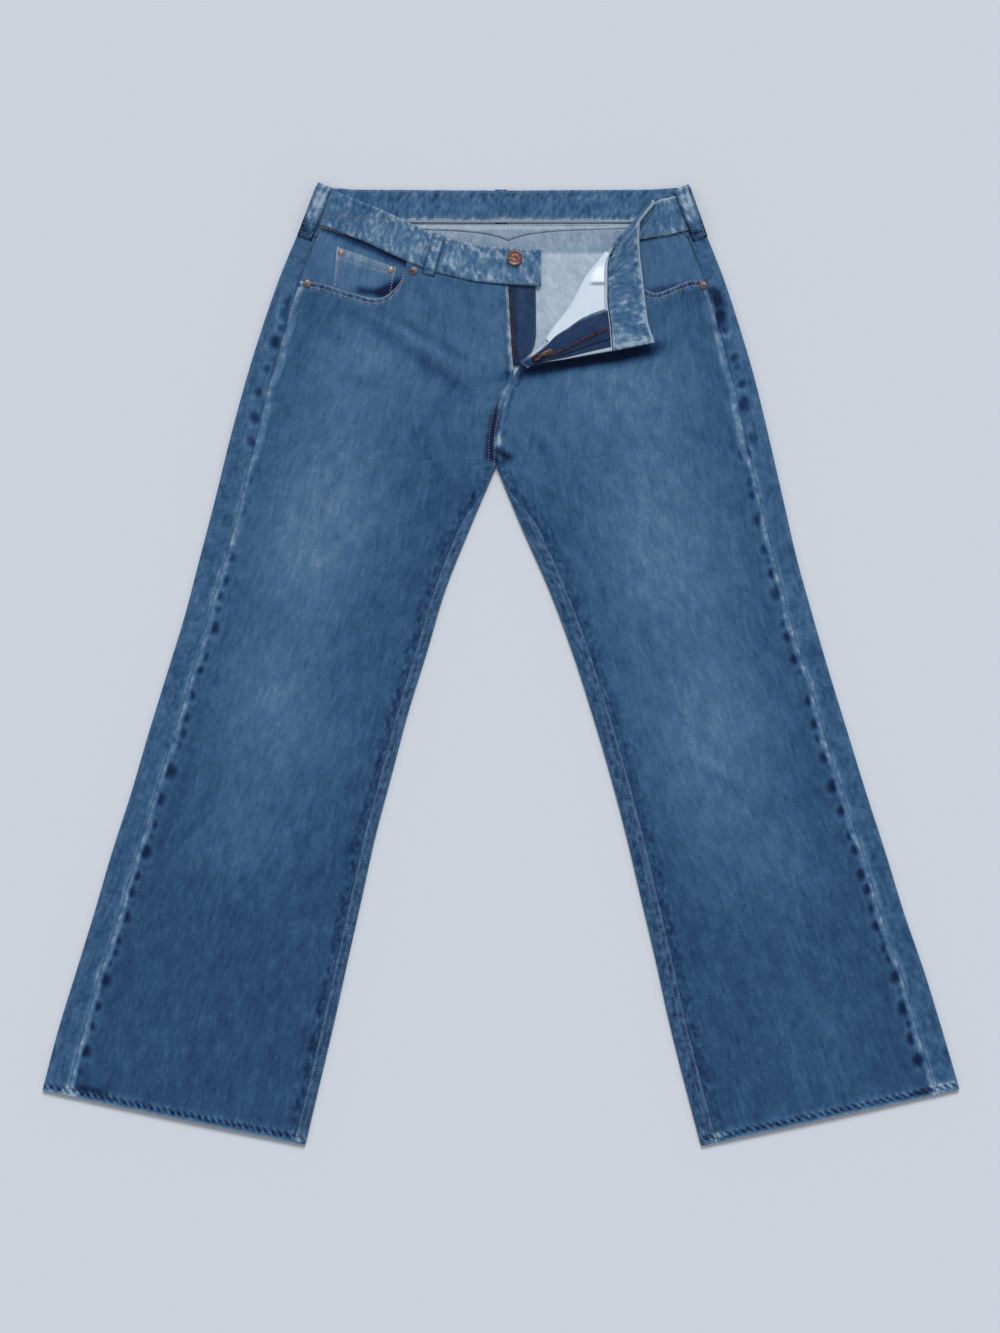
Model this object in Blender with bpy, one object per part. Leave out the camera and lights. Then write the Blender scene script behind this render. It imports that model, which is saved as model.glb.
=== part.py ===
"""Bootcut jeans laid flat, front up, the fly open and one front corner folded outward.

Lengths are millimetres here and metres on the objects. +Z is up, +Y runs from the hems to the waist, and X
runs from the wearer's right leg to the left one. The cloth rests on z = 0.
"""
import math
from collections import namedtuple

import bmesh
import bpy
from mathutils import Matrix, Vector
from mathutils.bvhtree import BVHTree

MM = 0.001

# Cloth and trim thicknesses, and the gap that seamed or stacked pieces keep.
DENIM = 1.1
HEM_DENIM = 1.8
BAND = 2.8
SHIELD = 1.6
BAG = 1.0
TAPE = 0.8
LOOP = 1.2
GAP = 0.3

# How the flat tube of cloth lies.
FOLD_RADIUS = 2.4
HEM_FOLD_RADIUS = 2.8
SEAT_LIFT = 1.4
LIFT_FULL_Y = 258.0
LIFT_NONE_Y = 110.0
LOFT = 1.0
MOUTH_LIFT = 1.9
HALF_SEAM = GAP / 2

# The crease of the folded corner.
CREASE_RADIUS = 3.0
BAND_CREASE_RADIUS = 2.6
BAND_BACK_Z = 2.9
BAND_FRONT_Z = 6.6
CORNER_RISE = 10.5
BAG_CLEAR = 0.6
STRIP_SEAM = 1.1

# Mesh steps.
ARC_STEPS = 6
FRONT_COLUMNS = 10
CROTCH = 5
CREASE_ROWS = 10
ABOVE_ALL = 100.0


# Small helpers

def smooth(share):
    """Go from 0 to 1 with level ends."""
    share = min(max(share, 0.0), 1.0)
    return share * share * (3.0 - 2.0 * share)


def mix(a, b, share):
    return a + (b - a) * share


def flat(point):
    return Vector((point[0], point[1]))


def raised(point, z):
    return Vector((point[0], point[1], z))


def side_step(direction):
    """Turn a plan direction a quarter turn clockwise."""
    return Vector((direction.y, -direction.x)).normalized()


def curve(a, b, c, d, part):
    """A value or point between b and c, on the smooth curve through four of them."""
    bend = 2 * a - 5 * b + 4 * c - d
    twist = -a + 3 * b - 3 * c + d
    return (2 * b + (c - a) * part + bend * part ** 2 + twist * part ** 3) / 2


class Path:
    """A smooth plan line through a few points, read by its share of the length."""

    def __init__(self, points, steps=12):
        knots = [flat(p) for p in points]
        padded = [knots[0] * 2 - knots[1]] + knots + [knots[-1] * 2 - knots[-2]]
        self.points = []
        for k in range(len(knots) - 1):
            for j in range(steps):
                self.points.append(curve(*padded[k:k + 4], j / steps))
        self.points.append(knots[-1])
        self.reach = [0.0]
        for a, b in zip(self.points, self.points[1:]):
            self.reach.append(self.reach[-1] + (b - a).length)

    def at(self, share):
        want = min(max(share, 0.0), 1.0) * self.reach[-1]
        for k in range(1, len(self.reach)):
            if self.reach[k] >= want:
                span = self.reach[k] - self.reach[k - 1]
                part = (want - self.reach[k - 1]) / span if span else 0.0
                return self.points[k - 1].lerp(self.points[k], part)
        return self.points[-1].copy()

    def along(self, share):
        return (self.at(share + 0.01) - self.at(share - 0.01)).normalized()

    def shifted(self, distance):
        """The same line moved to its right-hand side by a distance."""
        count = 24
        shares = [k / count for k in range(count + 1)]
        return Path([self.at(s) + side_step(self.along(s)) * distance for s in shares], 2)


def patch(top, bottom, left, right):
    """Fill four lines that meet at their ends: u runs from left to right and v from top to bottom."""
    corners = [top.at(0), top.at(1), bottom.at(0), bottom.at(1)]

    def place(u, v):
        across = mix(top.at(u), bottom.at(u), v)
        down = mix(left.at(v), right.at(v), u)
        flat_top = mix(corners[0], corners[1], u)
        flat_bottom = mix(corners[2], corners[3], u)
        return across + down - mix(flat_top, flat_bottom, v)

    return place


def paint(name, colour, roughness, metallic=0.0):
    material = bpy.data.materials.new(name)
    material.use_nodes = True
    shader = material.node_tree.nodes["Principled BSDF"]
    shader.inputs["Base Color"].default_value = (*colour, 1.0)
    shader.inputs["Roughness"].default_value = roughness
    shader.inputs["Metallic"].default_value = metallic
    return material


def add_object(name, mesh_data, look):
    mesh_data.materials.append(paint(name, *look))
    thing = bpy.data.objects.new(name, mesh_data)
    bpy.context.scene.collection.objects.link(thing)
    return thing


WASHED = ((0.055, 0.122, 0.225), 0.85)
DARK = ((0.024, 0.045, 0.105), 0.85)
WHITE = ((0.62, 0.70, 0.78), 0.9)
TAPE_BLUE = ((0.03, 0.05, 0.11), 0.8)
COPPER = ((0.30, 0.19, 0.16), 0.4, 0.9)


class Cloth:
    """A sheet kept as pairs of points, one on its upper side and one on its under side."""

    def __init__(self):
        self.pairs = []
        self.quads = []

    def grid(self, rows, shared=None):
        """Add rows of point pairs. shared gives, for each row, the index of a point that it starts from."""
        numbers = []
        for r, row in enumerate(rows):
            line = [shared[r]] if shared else []
            for pair in row:
                line.append(len(self.pairs))
                self.pairs.append(pair)
            numbers.append(line)
        for upper, lower in zip(numbers, numbers[1:]):
            for c in range(len(upper) - 1):
                self.quads.append((upper[c], lower[c], lower[c + 1], upper[c + 1]))
        return numbers

    def build(self, name, look):
        mesh = bmesh.new()
        tops = [mesh.verts.new(pair[0] * MM) for pair in self.pairs]
        unders = [mesh.verts.new(pair[1] * MM) for pair in self.pairs]
        edges = {}
        for quad in self.quads:
            mesh.faces.new([tops[k] for k in quad])
            mesh.faces.new([unders[k] for k in reversed(quad)])
            for a, b in zip(quad, quad[1:] + quad[:1]):
                edges[(a, b)] = edges.get((a, b), 0) + 1
        for a, b in edges:
            if (b, a) not in edges:
                mesh.faces.new((tops[b], tops[a], unders[a], unders[b]))
        bmesh.ops.recalc_face_normals(mesh, faces=mesh.faces)
        data = bpy.data.meshes.new(name)
        mesh.to_mesh(data)
        mesh.free()
        return add_object(name, data, look)


def layer(place, top_z, thickness, columns, rows):
    """Rows of point pairs for a sheet whose upper side is at top_z(x, y)."""
    lines = []
    for r in range(rows + 1):
        line = []
        for c in range(columns + 1):
            point = place(c / columns, r / rows)
            z = top_z(point.x, point.y)
            line.append((raised(point, z), raised(point, z - thickness)))
        lines.append(line)
    return lines


# The legs, section by section

LegRow = namedtuple("LegRow", "outer_x outer_y inner_x inner_y wrap")

# A row for each section. Above the crotch row the inner point lies on the seat seam. wrap is how far the back
# panel comes round the outer edge on to the front.
RIGHT_LEG = [
    LegRow(-219, 484, 8, 484, 20),
    LegRow(-225, 469, 8, 465, 21),
    LegRow(-244, 423, 7, 412, 22),
    LegRow(-263, 368, 3, 351, 24),
    LegRow(-280, 313, -1, 291, 26),
    LegRow(-298, 247, -5, 218, 27),
    LegRow(-314, 182, -34, 150, 28),
    LegRow(-331, 117, -61, 82, 27),
    LegRow(-348, 52, -81, 15, 26),
    LegRow(-368, -13, -102, -53, 27),
    LegRow(-388, -78, -120, -121, 27),
    LegRow(-407, -143, -138, -189, 26),
    LegRow(-428, -208, -153, -257, 27),
    LegRow(-447, -273, -168, -324, 27),
    LegRow(-467, -338, -183, -392, 26),
    LegRow(-487, -403, -199, -460, 27),
    LegRow(-504, -468, -215, -528, 28),
]
LEFT_LEG = [
    LegRow(222, 484, 8, 484, 20),
    LegRow(227, 469, 8, 465, 21),
    LegRow(245, 423, 7, 412, 21),
    LegRow(263, 368, 3, 351, 22),
    LegRow(279, 313, -1, 291, 24),
    LegRow(295, 247, -5, 218, 25),
    LegRow(310, 182, 23, 150, 25),
    LegRow(325, 117, 53, 82, 24),
    LegRow(343, 52, 78, 15, 25),
    LegRow(362, -13, 100, -53, 24),
    LegRow(382, -78, 120, -121, 25),
    LegRow(402, -143, 138, -189, 25),
    LegRow(423, -208, 154, -257, 24),
    LegRow(443, -273, 170, -325, 25),
    LegRow(465, -337, 185, -393, 25),
    LegRow(485, -402, 202, -461, 26),
    LegRow(504, -467, 220, -529, 26),
]
HEM = len(RIGHT_LEG) - 1
INSEAM_WRAP = {"right": 12.0, "left": 18.0}
LEG_ROWS = {"right": RIGHT_LEG, "left": LEFT_LEG}
LEG_SIDE = {"right": -1.0, "left": 1.0}

# The yoke seam dips to a point at the centre back: how far it bows up beside that point, and over what length.
YOKE_BOW = 11.0
YOKE_BOW_START = 25.0
YOKE_BOW_END = 130.0

# Height of the yoke's upper edge on the front, at its outer seam and halfway to the fold.
YOKE_TOP = {"right": (480.8, 482.5), "left": (474.0, 479.0)}

Fold = namedtuple("Fold", "x y lean length width height")

# The largest folds of the fronts. lean is the fold's turn from +Y in degrees, clockwise, and a negative height
# is a trough.
FOLDS = [
    Fold(-22, 262, -6, 70, 16, -1.0),
    Fold(16, 222, 8, 60, 14, -0.9),
    Fold(-120, 250, 62, 190, 34, 0.9),
    Fold(-150, 190, 58, 170, 30, -0.7),
    Fold(130, 235, -58, 180, 32, 0.9),
    Fold(165, 170, -55, 160, 30, -0.7),
    Fold(-225, -30, 20, 230, 60, 0.9),
    Fold(225, -20, -20, 240, 60, 0.9),
    Fold(-300, -330, 14, 260, 55, 0.8),
    Fold(315, -320, -14, 260, 55, 0.8),
]


def lift(y):
    """How far the seat stands off the surface, on its back pockets."""
    return SEAT_LIFT * smooth((y - LIFT_NONE_Y) / (LIFT_FULL_Y - LIFT_NONE_Y))


def fold_height(x, y):
    total = 0.0
    for fold in FOLDS:
        turn = math.radians(fold.lean)
        dx = x - fold.x
        dy = y - fold.y
        along = (dx * math.sin(turn) + dy * math.cos(turn)) / (fold.length / 2)
        across = (dx * math.cos(turn) - dy * math.sin(turn)) / (fold.width / 2)
        total += fold.height * math.exp(-1.5 * (along ** 4 + across ** 2))
    return total


def curve_values(table, k, part, first, last):
    """Values between rows k and k + 1 of a table, on a smooth curve that sees only the first to last rows."""
    rows = [table[min(max(k + j, first), last)] for j in (-1, 0, 1, 2)]
    return [curve(*column, part) for column in zip(*rows)]


class Section:
    """One cut across a leg or half of the hips, from the outer edge to the inner one."""

    def __init__(self, side, row):
        table = LEG_ROWS[side]
        k = min(int(row), HEM - 1)
        part = row - k
        outer_x, outer_y, wrap = curve_values([(r.outer_x, r.outer_y, r.wrap) for r in table], k, part, 0, HEM)
        first, last = (0, CROTCH) if k < CROTCH else (CROTCH, HEM)
        inner_x, inner_y = curve_values([(r.inner_x, r.inner_y) for r in table], k, part, first, last)
        self.outer = Vector((outer_x, outer_y))
        self.inner = Vector((inner_x, inner_y))
        if row <= CROTCH:
            self.inner.x += LEG_SIDE[side] * HALF_SEAM
        self.width = (self.inner - self.outer).length
        self.across = (self.inner - self.outer) / self.width
        self.wrap = wrap
        self.bow = max(1 - abs(row - 1), 0)
        crotch = Vector(table[CROTCH][2:4])
        below = (self.inner - crotch).length * (1 if row >= CROTCH else -1)
        self.bend = math.radians(mix(60, 180, min(below / 20, 1)) if below > 0 else max(60 + 1.5 * below, 0))
        inseam = INSEAM_WRAP[side] - FOLD_RADIUS
        self.inner_flat = max(inseam * smooth((below - 20) / 60), 0.02)
        at_hem = row > HEM - 0.25
        self.radius = HEM_FOLD_RADIUS if at_hem else FOLD_RADIUS
        self.wall = HEM_DENIM if at_hem else DENIM
        open_seam = self.radius + self.inner_flat + GAP
        self.inner_edge = open_seam if below >= 20 else mix(HALF_SEAM, open_seam, max(below, 0) / 20)

    def point(self, s, z):
        plan = self.outer + self.across * s
        if self.bow:
            from_centre = max(self.width - s, 0)
            reach = 1 - math.exp(-from_centre / YOKE_BOW_START)
            reach *= 1 - smooth((from_centre - YOKE_BOW_END) / 70)
            plan.y += YOKE_BOW * self.bow * reach
        return raised(plan, z + lift(plan.y))

    def back_profile(self):
        """Point pairs of the back panel, outside first, from its outer seam round to its inner one."""
        radius = self.radius
        inside = radius - self.wall
        pairs = []
        for s in (self.wrap, mix(self.wrap, radius, 0.5)):
            pairs.append((self.point(s, 2 * radius), self.point(s, 2 * radius - self.wall)))
        for k in range(ARC_STEPS + 1):
            turn = math.radians(90 + 180 * k / ARC_STEPS)
            step = (math.cos(turn), math.sin(turn))
            pairs.append((self.point(radius + radius * step[0], radius + radius * step[1]),
                          self.point(radius + inside * step[0], radius + inside * step[1])))
        pairs.append((self.point(self.width / 2, 0), self.point(self.width / 2, self.wall)))
        start = self.width - radius * math.sin(min(self.bend, math.pi / 2))
        level = (math.pi - self.bend) * radius
        for k in range(ARC_STEPS + 1):
            run = math.pi * radius * k / ARC_STEPS
            if run <= level:
                s = start - level + run
                pairs.append((self.point(s, 0), self.point(s, self.wall)))
            else:
                turn = (run - level) / radius
                pairs.append((self.point(start + radius * math.sin(turn), radius - radius * math.cos(turn)),
                              self.point(start + inside * math.sin(turn), radius - inside * math.cos(turn))))
        last = [start + reach * math.sin(self.bend) + self.inner_flat * math.cos(self.bend)
                for reach in (radius, inside)]
        rise = self.inner_flat * math.sin(self.bend)
        pairs.append((self.point(last[0], radius - radius * math.cos(self.bend) + rise),
                      self.point(last[1], radius - inside * math.cos(self.bend) + rise)))
        return pairs

    def front_point(self, u):
        """Plan place on the front panel, u from the side seam to the inseam."""
        start = self.wrap + GAP
        return self.outer + self.across * mix(start, self.width - self.inner_edge, u)


LEG_STEPS = [CROTCH + k / 3 for k in range(1, 3 * (HEM - CROTCH))]
LEG_STEPS = [CROTCH + 0.1, CROTCH + 0.2] + LEG_STEPS + [HEM - 0.26, HEM - 0.23, HEM]
HIP_STEPS = [1.0 + k / 4 for k in range(4 * (CROTCH - 1))] + [CROTCH - 0.12, CROTCH]


def front_lift(point, u):
    """Extra height of the fronts where the pocket mouths lie over what is in the pockets."""
    near_band = smooth((point.y - 362) / 40)
    off_seam = smooth(u / 0.12) * (1 - smooth((u - 0.6) / 0.3))
    return MOUTH_LIFT * near_band * off_seam


def front_pair(point, u, radius=FOLD_RADIUS, wall=DENIM):
    crown = LOFT * math.sin(math.pi * min(max(u, 0), 1))
    top = lift(point.y) + 2 * radius + crown + front_lift(point, u)
    top += fold_height(point.x, point.y) * min(1, 4 * u, 4 * (1 - u))
    return raised(point, top), raised(point, top - wall)


def back_panel(side):
    cloth = Cloth()
    rows = []
    for step in HIP_STEPS + LEG_STEPS:
        rows.append(Section(side, step).back_profile())
    cloth.grid(rows)
    return cloth.build("back_" + side, WASHED)


def yoke(side):
    """The strip between the waistband and the back panel, with the same profile as the panel."""
    steps = (0.04, 0.35, 0.7, 1 - GAP / 15)
    rows = [Section(side, step).back_profile() for step in steps]
    for column, top in enumerate(YOKE_TOP[side]):
        foot = rows[-1][column][0].y
        for row, step in zip(rows, steps):
            for point in row[column]:
                point.y = mix(top, foot, (step - steps[0]) / (steps[-1] - steps[0]))
    cloth = Cloth()
    cloth.grid(rows)
    return cloth.build("yoke_" + side, WASHED)


# The waistband

BandRow = namedtuple("BandRow", "top_x top_y low_x low_y")

BAND_RIGHT_FRONT = [
    BandRow(44, 455, 44, 415),
    BandRow(8, 457, 4, 417),
    BandRow(-23, 460, -30, 420),
    BandRow(-66, 469, -77, 431),
    BandRow(-88, 479, -103, 442),
    BandRow(-133, 500, -150, 464),
    BandRow(-178, 518, -192, 481),
]
BAND_RIGHT_SIDE = BandRow(-204, 525, -218, 486)
BAND_BACK = [
    BandRow(-180, 525, -188, 486),
    BandRow(-160, 525, -163, 485),
    BandRow(-80, 525, -80, 485),
    BandRow(0, 525, 0, 485),
    BandRow(80, 525, 80, 485),
    BandRow(163, 525, 165, 485),
    BandRow(184, 525, 192, 486),
]
BAND_LEFT_SIDE = BandRow(208, 525, 222, 486)
BAND_LEFT_FRONT = [
    BandRow(196, 516, 206, 477),
    BandRow(184, 512, 186, 472),
    BandRow(176, 511, 155, 467),
]
BAND_CREASE = BandRow(166, 510, 122, 461)

StripRow = namedtuple("StripRow", "top_x top_y low_x low_y tilt")

# The folded-over end of the waistband. tilt is how much higher its right edge stands than its left one.
BAND_STRIP = [
    StripRow(161, 498, 125, 456, 4),
    StripRow(152, 486, 120, 447, 8),
    StripRow(151, 469, 118, 436, 8),
    StripRow(152, 447, 118, 425, 6.5),
    StripRow(155, 425, 118, 412, 5),
    StripRow(157, 404, 118, 397, 3.5),
    StripRow(161, 373, 121, 371, 1.5),
    StripRow(168, 352, 123, 343, 0),
]


def strip_share(row):
    """How far down the folded strip a row lies, 0 at the crease and 1 at its end."""
    first = BAND_STRIP[0]
    last = BAND_STRIP[-1]
    return (first.low_y - row.low_y) / (first.low_y - last.low_y)


def corner_rise(share, down):
    """Height of the folded corner over its crease: share runs to the free edge, down to the fly's foot."""
    return CORNER_RISE * share ** 1.4 * (1 - 0.75 * down)


def band_lines():
    """Upper and lower edge points of the waistband's middle plane, from the button end to the other end."""
    lines = []

    def lay(rows, z):
        for row in rows:
            lines.append((Vector((row.top_x, row.top_y, z)), Vector((row.low_x, row.low_y, z))))

    def turn_over(row, outward, low_z, high_z, rising):
        radius = (high_z - low_z) / 2
        middle = (high_z + low_z) / 2
        inset = radius + BAND / 2
        steps = 8
        for k in range(steps + 1):
            angle = math.pi * k / steps
            height = -math.cos(angle) if rising else math.cos(angle)
            shift = outward * (radius * math.sin(angle) - inset)
            top = flat((row.top_x, row.top_y)) + shift
            low = flat((row.low_x, row.low_y)) + shift
            z = middle + radius * height
            lines.append((raised(top, z), raised(low, z)))

    def outward_of(row, sign):
        edge = flat((row.top_x - row.low_x, row.top_y - row.low_y))
        return side_step(edge) * sign

    lay(BAND_RIGHT_FRONT, BAND_FRONT_Z)
    turn_over(BAND_RIGHT_SIDE, outward_of(BAND_RIGHT_SIDE, -1), BAND_BACK_Z, BAND_FRONT_Z, False)
    lay(BAND_BACK, BAND_BACK_Z)
    turn_over(BAND_LEFT_SIDE, outward_of(BAND_LEFT_SIDE, 1), BAND_BACK_Z, BAND_FRONT_Z, True)
    lay(BAND_LEFT_FRONT, BAND_FRONT_Z)
    strip_z = BAND_FRONT_Z + 2 * BAND_CREASE_RADIUS
    turn_over(BAND_CREASE, outward_of(BAND_CREASE, -1), BAND_FRONT_Z, strip_z, True)
    for row in BAND_STRIP:
        low_z = strip_z + corner_rise(strip_share(row), 0)
        lines.append((Vector((row.top_x, row.top_y, low_z + row.tilt)), Vector((row.low_x, row.low_y, low_z))))
    return lines


def ribbon(name, lines, thickness, look):
    """A strip of even thickness whose middle plane runs through pairs of edge points."""
    pairs = []
    for k, (top, low) in enumerate(lines):
        after = lines[min(k + 1, len(lines) - 1)]
        before = lines[max(k - 1, 0)]
        travel = (after[0] + after[1]) - (before[0] + before[1])
        normal = (top - low).cross(travel).normalized() * thickness / 2
        pairs.append([(top + normal, top - normal), (low + normal, low - normal)])
    cloth = Cloth()
    cloth.grid(pairs)
    return cloth.build(name, look)


# The fronts

FLY_EDGE = [(8, 415), (10, 379), (12, 346), (14, 321)]
FRONT_SEAM = [(14, 321), (13, 308), (4, 291), (-3, 263), (-5, 241), (-5, 218)]
CREASE = [(120, 457.5), (106, 440), (94, 425), (76, 392), (59, 370), (48, 354), (35, 343), (20, 332)]
FREE_EDGE = [(122, 343), (98, 339), (70, 334), (43, 330), (29, 325)]

MOUTH_RIGHT = [(-240, 425), (-222, 421), (-198, 419), (-167, 409), (-135, 402), (-117, 412), (-107, 427),
               (-104, 442), (-103, 470), (-240, 520)]
MOUTH_LEFT = [(248, 426), (226, 422), (208, 422), (188, 414), (169, 408), (153, 417), (143, 436), (139, 464),
              (141, 482), (248, 500)]


# The mouth cut's lowest height, below the surface, and how tall it is. It ends under the folded corner.
MOUTH_CUT_LOW = -5.0
MOUTH_CUT_HEIGHT = 15.5


def band_low_edge(rows, drop):
    """The waistband's lower edge in plan, moved off it by a distance."""
    return [(row.low_x, row.low_y - drop) for row in rows]


def front_right():
    crotch = Section("right", CROTCH)
    top = Path([Section("right", 0.2).front_point(0)] +
               band_low_edge(BAND_RIGHT_FRONT[4:0:-1], GAP) + [(FLY_EDGE[0])])
    side = Path([Section("right", k).front_point(0) for k in (0.2, 1, 2, 3, 4, 5)])
    centre = Path(FLY_EDGE + [(x - HALF_SEAM, y) for x, y in FRONT_SEAM[1:-1]] + [crotch.front_point(1)])
    bottom = Path([crotch.front_point(0), crotch.front_point(0.5), crotch.front_point(1)])
    place = patch(top, bottom, side, centre)
    rows = []
    hip_rows = 18
    for r in range(hip_rows + 1):
        rows.append([front_pair(place(c / FRONT_COLUMNS, r / hip_rows), c / FRONT_COLUMNS)
                     for c in range(FRONT_COLUMNS + 1)])
    rows += leg_front_rows("right")
    cloth = Cloth()
    cloth.grid(rows)
    panel = cloth.build("front_right", WASHED)
    cut_mouth(panel, MOUTH_RIGHT)
    return panel


def leg_front_rows(side):
    rows = []
    for step in LEG_STEPS:
        section = Section(side, step)
        rows.append([front_pair(section.front_point(c / FRONT_COLUMNS), c / FRONT_COLUMNS,
                                section.radius, section.wall) for c in range(FRONT_COLUMNS + 1)])
    return rows


def cut_mouth(panel, outline):
    """Cut the pocket mouth and all above it out of a front panel."""
    cutter = bmesh.new()
    line = [cutter.verts.new((x * MM, y * MM, MOUTH_CUT_LOW * MM)) for x, y in outline]
    face = cutter.faces.new(line)
    grown = bmesh.ops.extrude_face_region(cutter, geom=[face])
    ends = [item for item in grown["geom"] if isinstance(item, bmesh.types.BMVert)]
    bmesh.ops.translate(cutter, verts=ends, vec=(0, 0, MOUTH_CUT_HEIGHT * MM))
    bmesh.ops.recalc_face_normals(cutter, faces=cutter.faces)
    data = bpy.data.meshes.new(panel.name + "_mouth_cutter")
    cutter.to_mesh(data)
    cutter.free()
    tool = bpy.data.objects.new(panel.name + "_mouth_cutter", data)
    bpy.context.scene.collection.objects.link(tool)
    tool.hide_render = True
    tool.display_type = "WIRE"
    cut = panel.modifiers.new("mouth", "BOOLEAN")
    cut.operation = "DIFFERENCE"
    cut.solver = "EXACT"
    cut.object = tool


class Corner:
    """The folded corner of the left front: a roll along the crease and a flap lying back over the panel."""

    def __init__(self):
        self.edge = Path(CREASE)
        self.axis = self.edge.shifted(-(CREASE_RADIUS + DENIM / 2))
        seam = [(row.low_x - STRIP_SEAM, row.low_y) for row in BAND_STRIP[1:]]
        free = Path(FREE_EDGE)
        foot = Path([self.axis.at(1), (free.at(1) + self.axis.at(1)) / 2, free.at(1)])
        head = Path([self.axis.at(0)] + seam[:-1] + [free.at(0)])
        self.place = patch(head, foot, self.axis, free)

    def out(self, down):
        """The plan direction from the panel out over the crease."""
        return side_step(self.axis.along(down))

    def base_z(self, down):
        point = self.axis.at(down)
        top = front_pair(point, 1.0)[0].z
        return top - DENIM / 2

    def roll(self, down, angle, radius):
        """A point of the roll, at an angle from straight below its axis and a distance from it."""
        plan = self.axis.at(down) + self.out(down) * radius * math.sin(angle)
        centre = self.base_z(down) + CREASE_RADIUS
        return raised(plan, centre - radius * math.cos(angle))

    def flap(self, share, down, above):
        """A point over the flap's middle plane, share from the crease to the free edge."""
        plan = self.place(share, down)
        z = self.base_z(down) + 2 * CREASE_RADIUS + corner_rise(share, down)
        return raised(plan, z + above)


def front_left(corner):
    crotch = Section("left", CROTCH)
    side = Path([Section("left", k).front_point(0) for k in (0.9, 1, 2, 3, 4, 5)])
    seam_top = corner.axis.at(1)
    centre = Path([seam_top, (15.5, 318)] + [(x + HALF_SEAM, y) for x, y in FRONT_SEAM[1:-1]]
                  + [crotch.front_point(1)])
    crease_share = 0.52
    lower_rows = 9
    shares = [crease_share * k / CREASE_ROWS for k in range(CREASE_ROWS)]
    shares += [mix(crease_share, 1, k / lower_rows) for k in range(lower_rows + 1)]
    cloth = Cloth()
    rows = []
    top = Path([side.at(0)] + [(row.low_x, row.low_y - 2) for row in BAND_LEFT_FRONT[1:]] + [corner.axis.at(0)])
    bottom = Path([crotch.front_point(0), crotch.front_point(0.5), crotch.front_point(1)])
    for k, v in enumerate(shares):
        if k <= CREASE_ROWS:
            end = corner.axis.at(k / CREASE_ROWS)
        else:
            end = centre.at((k - CREASE_ROWS) / lower_rows)
        start = side.at(v)
        row = []
        for c in range(FRONT_COLUMNS + 1):
            u = c / FRONT_COLUMNS
            bow_top = top.at(u) - mix(top.at(0), top.at(1), u)
            bow_bottom = bottom.at(u) - mix(bottom.at(0), bottom.at(1), u)
            point = mix(start, end, u) + mix(bow_top, bow_bottom, v)
            row.append(front_pair(point, u))
        rows.append(row)
    rows += leg_front_rows("left")
    numbers = cloth.grid(rows)
    rim = [line[-1] for line in numbers[:CREASE_ROWS + 1]]
    over = []
    flap_columns = 8
    half = DENIM / 2
    for k in range(CREASE_ROWS + 1):
        down = k / CREASE_ROWS
        line = []
        for j in range(1, ARC_STEPS + 1):
            angle = math.pi * j / ARC_STEPS
            line.append((corner.roll(down, angle, CREASE_RADIUS - half),
                         corner.roll(down, angle, CREASE_RADIUS + half)))
        for j in range(1, flap_columns + 1):
            share = j / flap_columns
            line.append((corner.flap(share, down, -half), corner.flap(share, down, half)))
        over.append(line)
    cloth.grid(over, rim)
    panel = cloth.build("front_left", WASHED)
    cut_mouth(panel, MOUTH_LEFT)
    return panel


# What lies on the folded corner

FACING_INNER = [(0.0, 0.60), (0.25, 0.52), (0.5, 0.38), (0.7, 0.22), (0.84, 0.06)]


def facing_line(down):
    """Share of the flap where the fly facing's curved edge lies."""
    for (a, start), (b, end) in zip(FACING_INNER, FACING_INNER[1:]):
        if down <= b:
            return mix(start, end, (down - a) / (b - a))
    return FACING_INNER[-1][1]


def on_corner(name, corner, low, thickness, start, end, first, last, columns, rows, look):
    """A piece lying on the flap between two lines, low above the flap's middle plane."""
    cloth = Cloth()
    lines = []
    for r in range(rows + 1):
        down = mix(first, last, r / rows)
        line = []
        for c in range(columns + 1):
            share = mix(start(down), end(down), c / columns)
            line.append((corner.flap(share, down, low + thickness), corner.flap(share, down, low)))
        lines.append(line)
    cloth.grid(lines)
    return cloth.build(name, look)


def pocket_bag(corner):
    """The white bag: a tuck inside the panel, round the crease, and over the flap to the fly facing."""
    cloth = Cloth()
    rows = 8
    inner = CREASE_RADIUS + DENIM / 2 + BAG_CLEAR
    outer = inner + BAG
    tuck = 8.0
    flap_columns = 5
    low = DENIM / 2 + BAG_CLEAR
    lines = []
    for r in range(rows + 1):
        down = mix(0.04, 0.76, r / rows)
        line = []
        for share in (1.0, 0.5):
            inward = corner.out(down) * -tuck * share
            line.append((corner.roll(down, 0, inner) + inward.to_3d(), corner.roll(down, 0, outer) + inward.to_3d()))
        for j in range(ARC_STEPS + 1):
            angle = math.pi * j / ARC_STEPS
            line.append((corner.roll(down, angle, inner), corner.roll(down, angle, outer)))
        end = facing_line(down) - 0.015
        for j in range(1, flap_columns + 1):
            share = end * j / flap_columns
            line.append((corner.flap(share, down, low), corner.flap(share, down, low + BAG)))
        lines.append(line)
    cloth.grid(lines)
    return cloth.build("pocket_bag_left", WHITE)


# The pockets

FacingPlan = namedtuple("FacingPlan", "band foot")

# Each facing's upper edge, under the waistband, and its lower edge, under the front panel.
FACINGS = {
    "right": FacingPlan([(-196, 479), (-150, 463.4), (-103, 441.4), (-88, 434)],
                        [(-228, 408), (-190, 398), (-135, 384), (-84, 396)]),
    "left": FacingPlan([(203, 474.5), (186, 471.4), (160, 467), (136, 463.4)],
                       [(232, 408), (200, 401), (168, 393), (132, 400)]),
}
FACING_SIDE_STEP = 0.9
FACING_Z = 2 * FOLD_RADIUS - SEAT_LIFT


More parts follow.
